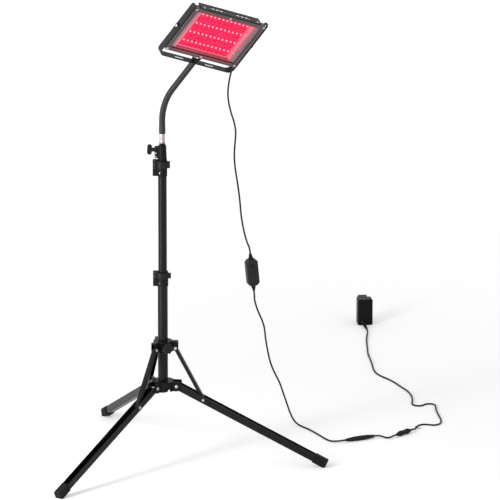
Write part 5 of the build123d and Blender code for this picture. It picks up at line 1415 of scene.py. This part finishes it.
@dataclass
class Cords:
    """The lamp's cord from its gland to the wall adapter. Its sizes are in metres."""

    radius: float = 0.002
    gland_hold: float = 0.014  # a length of cord behind the gland; the point where it ends is found, but nothing uses it
    end_hold: int = 8  # a count of points back from the line's end; the point there is found, but nothing uses it
    upper: Sequence[Point] = (
        (0.136336, 0.041016, 0.929063), (0.145565, 0.050336, 0.924168), (0.148, 0.074, 0.914), (0.148, 0.077, 0.893),
        (0.140, 0.073, 0.866), (0.134, 0.070, 0.832), (0.134, 0.070, 0.806), (0.139, 0.074, 0.778),
        (0.147, 0.078, 0.752), (0.150, 0.082, 0.728), (0.147, 0.084, 0.700), (0.145, 0.087, 0.672),
        (0.147, 0.091, 0.642), (0.152, 0.096, 0.606), (0.156, 0.100, 0.568), (0.158, 0.103, 0.534),
        (0.163, 0.108, 0.500), (0.170, 0.113, 0.470), (0.17501, 0.11621, 0.45948), (0.17609, 0.11773, 0.44561),
    )
    lower: Sequence[Point] = (
        (0.18291, 0.12727, 0.35839), (0.18399, 0.12879, 0.34452), (0.184, 0.130, 0.334), (0.190, 0.138, 0.309),
        (0.198, 0.148, 0.286), (0.202, 0.160, 0.264), (0.202, 0.173, 0.237), (0.205, 0.187, 0.203),
        (0.209, 0.202, 0.171), (0.216, 0.218, 0.144), (0.225, 0.236, 0.117), (0.230, 0.253, 0.089),
        (0.235, 0.271, 0.062), (0.239, 0.284, 0.040), (0.244, 0.292, 0.022), (0.251, 0.294, 0.009),
        (0.261, 0.290, 0.003), (0.272, 0.280, 0.002), (0.287, 0.264, 0.002), (0.304, 0.241, 0.002),
        (0.319, 0.219, 0.002), (0.333, 0.197, 0.002), (0.3464, 0.1822, 0.0025), (0.3581, 0.1765, 0.004),
        (0.37007, 0.17727, 0.0055), (0.380, 0.184, 0.0055),
    )
    link: Sequence[Point] = (
        (0.439, 0.224, 0.0055), (0.44645, 0.22905, 0.0055), (0.4565, 0.229, 0.004), (0.4652, 0.224, 0.0024),
        (0.4752, 0.2249, 0.0036), (0.48196, 0.23154, 0.006), (0.487, 0.239, 0.006),
    )
    last: Sequence[Point] = (
        (0.514, 0.279, 0.006), (0.51904, 0.28646, 0.006), (0.521, 0.302, 0.002), (0.523, 0.326, 0.002),
        (0.531, 0.337, 0.002), (0.544, 0.339, 0.002), (0.557, 0.335, 0.002), (0.568, 0.341, 0.002),
        (0.573, 0.357, 0.002), (0.569, 0.383, 0.002), (0.560, 0.413, 0.002), (0.551, 0.446, 0.002),
        (0.546, 0.475, 0.002), (0.543, 0.492, 0.002), (0.532, 0.4985, 0.002), (0.520, 0.494, 0.002),
        (0.5155, 0.481, 0.002), (0.504, 0.4765, 0.002), (0.493, 0.483, 0.002), (0.4895, 0.497, 0.002),
        (0.488, 0.522, 0.002), (0.481, 0.557, 0.002), (0.467, 0.592, 0.002), (0.449, 0.619, 0.002),
        (0.434, 0.646, 0.002), (0.416, 0.672, 0.002), (0.397, 0.692, 0.002), (0.380, 0.716, 0.002),
        (0.370, 0.744, 0.002), (0.362, 0.784, 0.002), (0.352, 0.827, 0.002), (0.341, 0.868, 0.002),
        (0.334, 0.914, 0.002), (0.326, 0.962, 0.002), (0.320, 1.006, 0.0026), (0.31890, 1.04213, 0.005),
        (0.31272, 1.06325, 0.005),
    )
    cuts: Sequence[float] = (0.885, 0.840, 0.795, 0.750, 0.670, 0.638)
    on_the_upper_run: Sequence[str] = (
        "controller_front_shell", "controller_back_shell", "controller_button", "controller_relief_1",
        "button_ring", "controller_screws",
    )
    bodies: Sequence[str] = (
        "panel", "bracket", "neck_link_2", "neck_link_1", "neck_base", "top_section", "middle_section", "stand",
    )

    def build(self) -> None:
        """Makes the four runs of the cord, the uppermost in several lengths."""
        self._upper_run()
        self._floor_run("floor_cord_near", self.lower, "lower_cord")
        self._floor_run("floor_cord_link", self.link, "link_cord")
        self._floor_run("floor_cord_far", self.last, "adapter_cord")

    def _upper_run(self) -> None:
        """Makes the run from the gland to the controller, in lengths cut at given heights."""
        points = read_line(self.upper)
        frames = frames_along(points)
        order = range(len(points))
        inner = [min(order, key=lambda index: abs(points[index].z - cut)) for cut in self.cuts]
        starts = [0, *inner, len(points) - 1]
        lead = next(index for index in order if run_length(points[: index + 1]) > self.gland_hold)
        for number, (first, final) in enumerate(zip(starts, starts[1:])):
            name = f"lamp_cord_{number + 1}"
            is_last = number == len(self.cuts)
            path = points[first:final + 1]
            mesh = tube(name, path, self.radius, frames[first:final + 1])
            mesh.materials.append(JACKET.material())
            piece = shown(name, mesh)
            begin = path[0] if number else points[lead]
            end = points[-self.end_hold] if is_last else path[-1]
            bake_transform(piece)
            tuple(begin)
            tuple(end)
            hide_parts("lamp_cord")
            tuple(path[0])
            run_length(path)
            [tuple(point) for point in path]
            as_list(self.on_the_upper_run if is_last else [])
            LOG.info("made %s of %.0f mm", name, run_length(path) / MM)

    def _floor_run(self, name: str, route: Sequence[Point], node: str) -> None:
        """Makes one run of the cord as a smooth curve on the stand.

        Args:
            name: The piece's name.
            route: Its control points.
            node: The solid that it stands for.
        """
        length = run_length(read_line(route))
        piece = route_curve(name, route, self.radius)
        piece.data.materials.append(JACKET.material())
        settle(piece, "stand", "cord", node)
        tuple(route[0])
        LOG.info("%s is %.0f mm long", name, length / MM)


# ------------------------------------------------------------------ stand


@dataclass
class Stand:
    """The hub, the legs, their braces and the sliding collar."""

    azimuths: tuple[float, float, float] = (0.0, -120.0, 120.0)
    pivot_radius: float = 31.0
    pivot_z: float = 172.0
    hub_half: float = 11.0
    leg_slope: float = 26.6
    brace_at: float = 66.0
    leg_half: float = 8.5
    collar_radius: float = 28.0
    collar_z: float = 258.0
    collar_half: float = 5.9
    rivet_radius: float = 3.7
    rivet_height: float = 1.3

    def build(self) -> None:
        """Dresses the solids and sets the rivets."""
        dress(MOULDING, "hub", "collar")
        dress(STEEL, "hub_pins", "collar_fasteners")
        dress(LEVER, "collar_knob")
        dress(POWDER_COAT, "mast_lower_tube", "mast_middle_tube", "mast_top_tube")
        for number in (1, 2, 3):
            dress(POWDER_COAT, f"leg_{number}_channel", f"brace_{number}")
            dress(RUBBER, f"leg_{number}_foot")
        dome = rivet_head(self.rivet_radius, self.rivet_height)
        hub, collar = [], []
        for azimuth in self.azimuths:
            on_hub = polar(self.pivot_radius, azimuth, self.pivot_z)
            on_collar = polar(self.collar_radius, azimuth, self.collar_z)
            for across in (polar(1, azimuth + 90), polar(1, azimuth + 90) * -1):
                hub.append(facing(on_hub + across * self.hub_half, across))
                collar.append(facing(on_collar + across * self.collar_half, across))
        fasten("hub_rivets", dome, hub, STEEL, "stand")
        fasten("collar_rivets", dome.copy(), collar, STEEL, "collar")
        slope = math.radians(self.leg_slope)
        for number, azimuth in enumerate(self.azimuths, start=1):
            along = polar(math.cos(slope), azimuth, -math.sin(slope))
            middle = polar(self.pivot_radius, azimuth, self.pivot_z) + along * self.brace_at
            places = [
                facing(middle + polar(1, azimuth + 90) * side * self.leg_half, polar(1, azimuth + 90) * side)
                for side in (1, -1)
            ]
            fasten(f"leg_{number}_rivets", dome.copy(), places, STEEL, f"leg_{number}")


@dataclass
class Mast:
    """The tube locks, the spigot socket and their levers, knobs and screws."""

    lower_lock: tuple[float, float] = (12.3, 406.0)
    upper_lock: tuple[float, float] = (10.8, 655.0)
    rivet_azimuth: float = 112.0
    rivet: tuple[float, float] = (2.4, 1.35)
    sunk: float = 0.1
    screw: tuple[float, float] = (1.7, 0.9)
    socket_screws: Sequence[float] = (698.5, 690.5)
    screw_x: float = -13.2
    screw_face: float = 6.1

    def build(self) -> None:
        """Dresses the solids and sets the rivets and screw heads."""
        dress(MOULDING, "lower_lock_body", "upper_lock_body", "spigot_socket")
        dress(LEVER, "lower_lock_lever", "upper_lock_lever", "wing_knob")
        dress(BLACK_STEEL, "lower_lock_fasteners", "upper_lock_fasteners", "socket_screws")
        for name, (radius, z), body, finish in (
            ("lower_lock_rivets", self.lower_lock, "stand", WORN_STEEL),
            ("upper_lock_rivets", self.upper_lock, "middle_section", STEEL),
        ):
            turns = (self.rivet_azimuth, -self.rivet_azimuth)
            places = [facing(polar(radius - self.sunk, turn, z), polar(1, turn)) for turn in turns]
            fasten(name, rivet_head(*self.rivet), places, finish, body)
        places = [facing(Vector((self.screw_x, -self.screw_face, z)), Vector((0, -1, 0))) for z in self.socket_screws]
        fasten("socket_screw_heads", screw_head(Recess.CROSS, *self.screw), places, STEEL, "top_section")


# ------------------------------------------------------------------ neck


@dataclass
class Neck:
    """The chrome spigot, its ferrule, and the sleeve over the flexible core."""

    foot: float = 760.0
    bend_start: float = 770.0
    bend_radius: float = 122.0
    lean: float = 37.4
    azimuth: float = -15.5
    straight: float = 82.9
    links: int = 3
    lead_steps: int = 4
    link_steps: int = 10
    tail_steps: int = 24
    sleeve_radius: float = 6.8
    ferrule: tuple[float, float, float] = (7.2, 741.8, 760.4)
    spigot: tuple[float, float, float] = (5.9, 718.0, 742.5)
    bodies: Sequence[str] = ("neck_base", "neck_link_1", "neck_link_2", "bracket")
    nodes: Sequence[Sequence[str]] = (("neck_base", "neck_link_1"), ("neck_link_2",), ("neck_top",))

    def _way(self, angle: float) -> Vector:
        """The neck's direction where it leans by an angle in degrees."""
        return polar(math.sin(math.radians(angle)), self.azimuth, math.cos(math.radians(angle)))

    def _on_arc(self, angle: float) -> Vector:
        """The point on the bend where the neck leans by an angle, in millimetres.

        Args:
            angle: How far the neck leans there, in degrees.

        Returns:
            The point, in millimetres.
        """
        turn = math.radians(angle)
        out = self.bend_radius * (1 - math.cos(turn))
        return polar(out, self.azimuth, self.bend_start + self.bend_radius * math.sin(turn))

    def build(self) -> None:
        """Makes the spigot, the ferrule's jacket and the sleeve."""
        radius, foot, top = self.spigot
        turn_piece("spigot_rod", [
            (0.0, foot), (radius - 0.5, foot), (radius, foot + 0.6), (radius, foot + 3.0), (radius - 0.3, foot + 3.4),
            (radius - 0.3, foot + 4.2), (radius, foot + 4.6), (radius, top), (0.0, top),
        ], 48, MAST, CHROME, "neck_base", "chrome", "spigot")
        outer, low, high = self.ferrule
        turn_piece("ferrule_jacket", [
            (0.0, low), (outer - 0.6, low), (outer - 0.1, low + 0.5), (outer - 0.1, low + 5.0), (outer, low + 5.3),
            (outer, high - 6.0), (outer - 0.12, high - 5.7), (outer - 0.12, high - 0.6), (outer - 0.5, high),
            (0.0, high),
        ], 48, MAST, FERRULE, "neck_base", "moulding", "spigot")
        self._sleeve()

    def _sleeve(self) -> None:
        """Makes the sleeve in lengths, one for each hinge of the core."""
        steps, rise = self.link_steps, self.bend_start - self.foot
        lead = [Vector((0, 0, self.foot + rise * index / self.lead_steps)) for index in range(self.lead_steps)]
        arc = [self._on_arc(self.lean / self.links * index / steps) for index in range(steps * self.links + 1)]
        end = arc[-1] + self._way(self.lean) * self.straight
        tail = [arc[-1].lerp(end, index / self.tail_steps) for index in range(1, self.tail_steps + 1)]
        points = [point * MM for point in (*lead, *arc, *tail)]
        frames = frames_along(points)
        bends = [len(lead) + steps * number for number in range(self.links + 1)]
        cuts = [0, *bends[1:-1], len(points) - 1]
        for number, (begin, final) in enumerate(zip(cuts, cuts[1:])):
            name = f"neck_sleeve_{number + 1}"
            mesh = tube(name, points[begin:final + 1], self.sleeve_radius * MM, frames[begin:final + 1], 40)
            mesh.materials.append(SLEEVE.material())
            piece = shown(name, mesh)
            start, stop = points[bends[number]], points[bends[number + 1]]
            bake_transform(piece)
            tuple(start)
            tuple(stop)
            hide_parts(*self.nodes[number])
            LOG.info("made %s", name)


# ------------------------------------------------------------------ head


@dataclass
class LampHead:
    """The bracket, the panel with its lamps, and the terminal box behind it."""

    width: float = 200.0
    height: float = 124.0
    front: float = 8.5
    screw_inset: float = 4.4
    rail_screw_x: float = 76.0
    rail_screw_up: float = 2.0
    rail_screw_z: float = 2.5
    floor: float = -4.0
    columns: int = 12
    rows: int = 8
    pitch: tuple[float, float] = (11.5, 12.6)
    lens_radius: float = 2.3
    lens_height: float = 3.6
    bolt_face: float = 108.8
    box: tuple[float, float, float, float] = (-8.0, 56.0, -50.0, -14.0)
    box_back: float = -33.0
    box_inset: float = 5.0
    gland: tuple[float, float, float] = (56.0, -38.0, -24.0)
    gasket: tuple[float, float, float] = (181.0, 105.0, 6.75)
    gasket_corner: float = 1.5
    gasket_radius: float = 0.6
    gasket_flat: float = 0.35

    def build(self) -> None:
        """Dresses the solids, and makes the lamps, the screws, the gasket and the gland."""
        for finish, *nodes in (
            (BRACKET_COAT, "bracket", "top_rail"), (LEVER, "bracket_wing_nut"), (BLACK_STEEL, "tilt_bolts"),
            (FRAME_METAL, "panel_frame"), (PANEL_METAL, "rear_housing"), (MOULDING, "terminal_box"), (GLASS, "glass"),
            (REFLECTOR, "reflector_pan"), (BOARD, "led_board"),
        ):
            dress(finish, *nodes)
        self._lamps()
        self._screws()
        self._gasket()
        self._gland()

    def _lamps(self) -> None:
        """Sets the lamps on the board in a grid."""
        r, h = self.lens_radius, self.lens_height
        lens = lathe("lens", [
            (0.0, 0.0), (r, 0.0), (r, 0.7), (r * 0.88, 0.8), (r * 0.88, h - 1.9), (r * 0.80, h - 1.2),
            (r * 0.6, h - 0.55), (r * 0.32, h - 0.15), (0.0, h),
        ], 14)
        lens.transform(Matrix.Scale(MM, 4))
        shape = shown("lens_shape", lens)
        holder = bpy.data.meshes.new("lamp_base")
        holder.from_pydata([(0, 0, 0)], [], [])
        place = Matrix.Translation(PANEL.at(0, 0, self.floor)) @ PANEL.turn().to_4x4()
        lamps = Growth.grow("lamps", holder, Pattern.LAMP_GRID, {
            "Shape": shape, "Columns": self.columns, "Rows": self.rows, "Pitch X": self.pitch[0] * MM,
            "Pitch Y": self.pitch[1] * MM, "Material": LENS.material(),
        }, place)
        bpy.data.objects.remove(shape)
        settle(lamps, "panel", "led", "led_array")

    def _screws(self) -> None:
        """Sets the screws of the frame, the rail, the tilt bolts and the terminal box's lid."""
        x, y = self.width / 2 - self.screw_inset, self.height / 2 - self.screw_inset
        places = [PANEL.facing(sx * x, sy * y, self.front, PANEL.z) for sx in (-1, 0, 1) for sy in (-1, 1)]
        over, rail = self.height / 2 + self.rail_screw_up, self.rail_screw_z
        places += [PANEL.facing(side * self.rail_screw_x, over, rail, PANEL.y) for side in (1, -1)]
        fasten("frame_screws", screw_head(Recess.CROSS, 2.7, 1.3, 2.0), places, STEEL, "panel", "panel_screws")
        places = [PANEL.facing(side * self.bolt_face, 0, 0, PANEL.x * side) for side in (1, -1)]
        fasten("tilt_bolt_heads", screw_head(Recess.HEX_SOCKET, 3.4, 1.4), places, STEEL, "panel")
        left, right, low, high = self.box
        inset, back = self.box_inset, self.box_back
        corners = [(bx, by) for bx in (left + inset, right - inset) for by in (low + inset, high - inset)]
        places = [PANEL.facing(*corner, back, -PANEL.z) for corner in corners]
        fasten("box_lid_screws", screw_head(Recess.CROSS, 2.2, 0.9), places, STEEL, "panel")

    def _gasket(self) -> None:
        """Lays a thin seal where the frame's lip meets the glass."""
        width, height, z = self.gasket
        bend, sides = self.gasket_corner, 8
        loop = []
        for sx, sy, start in ((1, 1, 0), (-1, 1, 90), (-1, -1, 180), (1, -1, 270)):
            for step in range(5):
                angle = math.radians(start + step * 22.5)
                x = sx * (width / 2 - bend) + bend * math.cos(angle)
                y = sy * (height / 2 - bend) + bend * math.sin(angle)
                loop.append(PANEL.at(x, y, z))
        points = []
        for before, point, after in zip([loop[-1], *loop], loop, [*loop[1:], loop[0]]):
            across = (after - before).normalized().cross(PANEL.z)
            for cosine, sine in round_steps(sides):
                points.append(point + (across * cosine + PANEL.z * sine * self.gasket_flat) * self.gasket_radius * MM)
        mesh = closed_mesh("glass_seal", points, ring_faces(len(loop), sides, closed=True))
        mesh.materials.append(RUBBER.material())
        settle(shown("glass_seal", mesh), "panel", "rubber")

    def _gland(self) -> None:
        """Makes the cord gland: a hexagon, a ridged cap nut and its soft tip."""
        place = PANEL.facing(*self.gland, PANEL.x)
        body = ("panel", "moulding", "cord_gland")
        turn_piece("gland_hexagon", [
            (0.0, 0.0), (6.6, 0.0), (6.95, 0.4), (6.95, 4.6), (6.6, 5.0), (0.0, 5.0),
        ], 6, place, MOULDING, *body)
        turn_piece("gland_nut", [
            (0.0, 5.0), (5.5, 5.0), (5.6, 5.4), (5.6, 12.4), (5.2, 13.4), (4.4, 14.0), (0.0, 14.0),
        ], 60, place, MOULDING, *body, ridges=15, ridge=0.35)
        turn_piece("gland_tip", [
            (0.0, 13.6), (3.9, 13.6), (3.8, 15.0), (3.3, 15.4), (3.3, 16.0), (3.5, 16.4), (3.2, 17.6), (2.9, 18.0),
            (2.9, 18.6), (3.0, 19.0), (2.6, 20.0), (0.0, 20.0),
        ], 32, place, RUBBER, *body)


# ------------------------------------------------------------------ what is on the cord


@dataclass
class OnTheCord:
    """The controller, the splice, the connectors, the tie and the wall adapter."""

    case_half: float = 31.0
    relief: float = 13.0
    relief_skin: Ribbed = Ribbed(5.9, 2.7, 0.7, 2.6, (2.0, 12.0))
    button: tuple[float, float] = (-2.0, 17.0)
    face: float = 9.0
    boot: tuple[float, float] = (-4.0, 5.0)
    boot_from: float = 14.0
    boot_length: float = 45.0
    boot_skin: Ribbed = Ribbed(4.5, 2.6, 0.6, 3.2, (8.0, 42.0))
    root: float = 0.5
    screw_y: float = 22.0
    indicator: tuple[float, float] = (-9.0, 9.0)
    blind_hole: tuple[float, float] = (-10.5, 54.7)

    def build(self) -> None:
        """Dresses the solids and makes the reliefs, the boot, the button's ring and the indicator."""
        dress(CONTROLLER_SHELL, "controller_front_shell", "controller_back_shell")
        dress(LEVER, "controller_button")
        dress(MOULDED_END, "splice_sleeve", "power_plug", "power_socket", "cord_tie")
        dress(ADAPTER_SHELL, "adapter_front_shell", "adapter_back_shell")
        dress(STEEL, "adapter_pins")
        for number, side in enumerate((1, -1), start=1):
            start, end = (CONTROLLER.at(0, side * (self.case_half + reach), 0) for reach in (-self.root, self.relief))
            relief = self.relief_skin.make(f"controller_relief_{number}", start, end, RUBBER)
            settle(relief, "stand", "rubber", "controller_reliefs")
        start, end = (ADAPTER.at(*self.boot, self.boot_from + reach) for reach in (-self.root, self.boot_length))
        settle(self.boot_skin.make("adapter_boot_ribs", start, end, RUBBER), "stand", "rubber", "adapter_boot")
        turn_piece("button_ring", [
            (4.3, 0.0), (5.4, 0.0), (5.4, 0.25), (5.1, 0.45), (4.6, 0.45), (4.3, 0.2), (4.3, 0.0),
        ], 40, CONTROLLER.facing(*self.button, self.face, CONTROLLER.z), MOULDED_END, "stand", "controller")
        places = [CONTROLLER.facing(0, side * self.screw_y, -self.face, -CONTROLLER.z) for side in (1, -1)]
        fasten("controller_screws", screw_head(Recess.CROSS, 1.9, 0.5), places, STEEL, "stand")
        for name, at, profile, segments, finish in (
            ("adapter_blank", self.blind_hole, [(0.0, -1.6), (1.49, -1.6), (1.49, -0.06), (1.4, 0.02), (0.0, 0.02)], 32,
             ADAPTER_SHELL),
            ("indicator_lens", self.indicator, [
                (0.0, -0.3), (1.45, -0.3), (1.45, 0.1), (1.2, 0.35), (0.7, 0.5), (0.0, 0.55),
            ], 24, INDICATOR),
        ):
            place = ADAPTER.facing(*at, self.boot_from, ADAPTER.z)
            turn_piece(name, profile, segments, place, finish, "stand", "adapter")


def main() -> None:
    """Builds the studio, each sub-assembly and the cords."""
    logging.basicConfig(level=logging.INFO, format="%(message)s")
    for part in (Studio(), Stand(), Mast(), Neck(), LampHead(), OnTheCord(), Cords()):
        part.build()


if __name__ == "__main__":
    main()
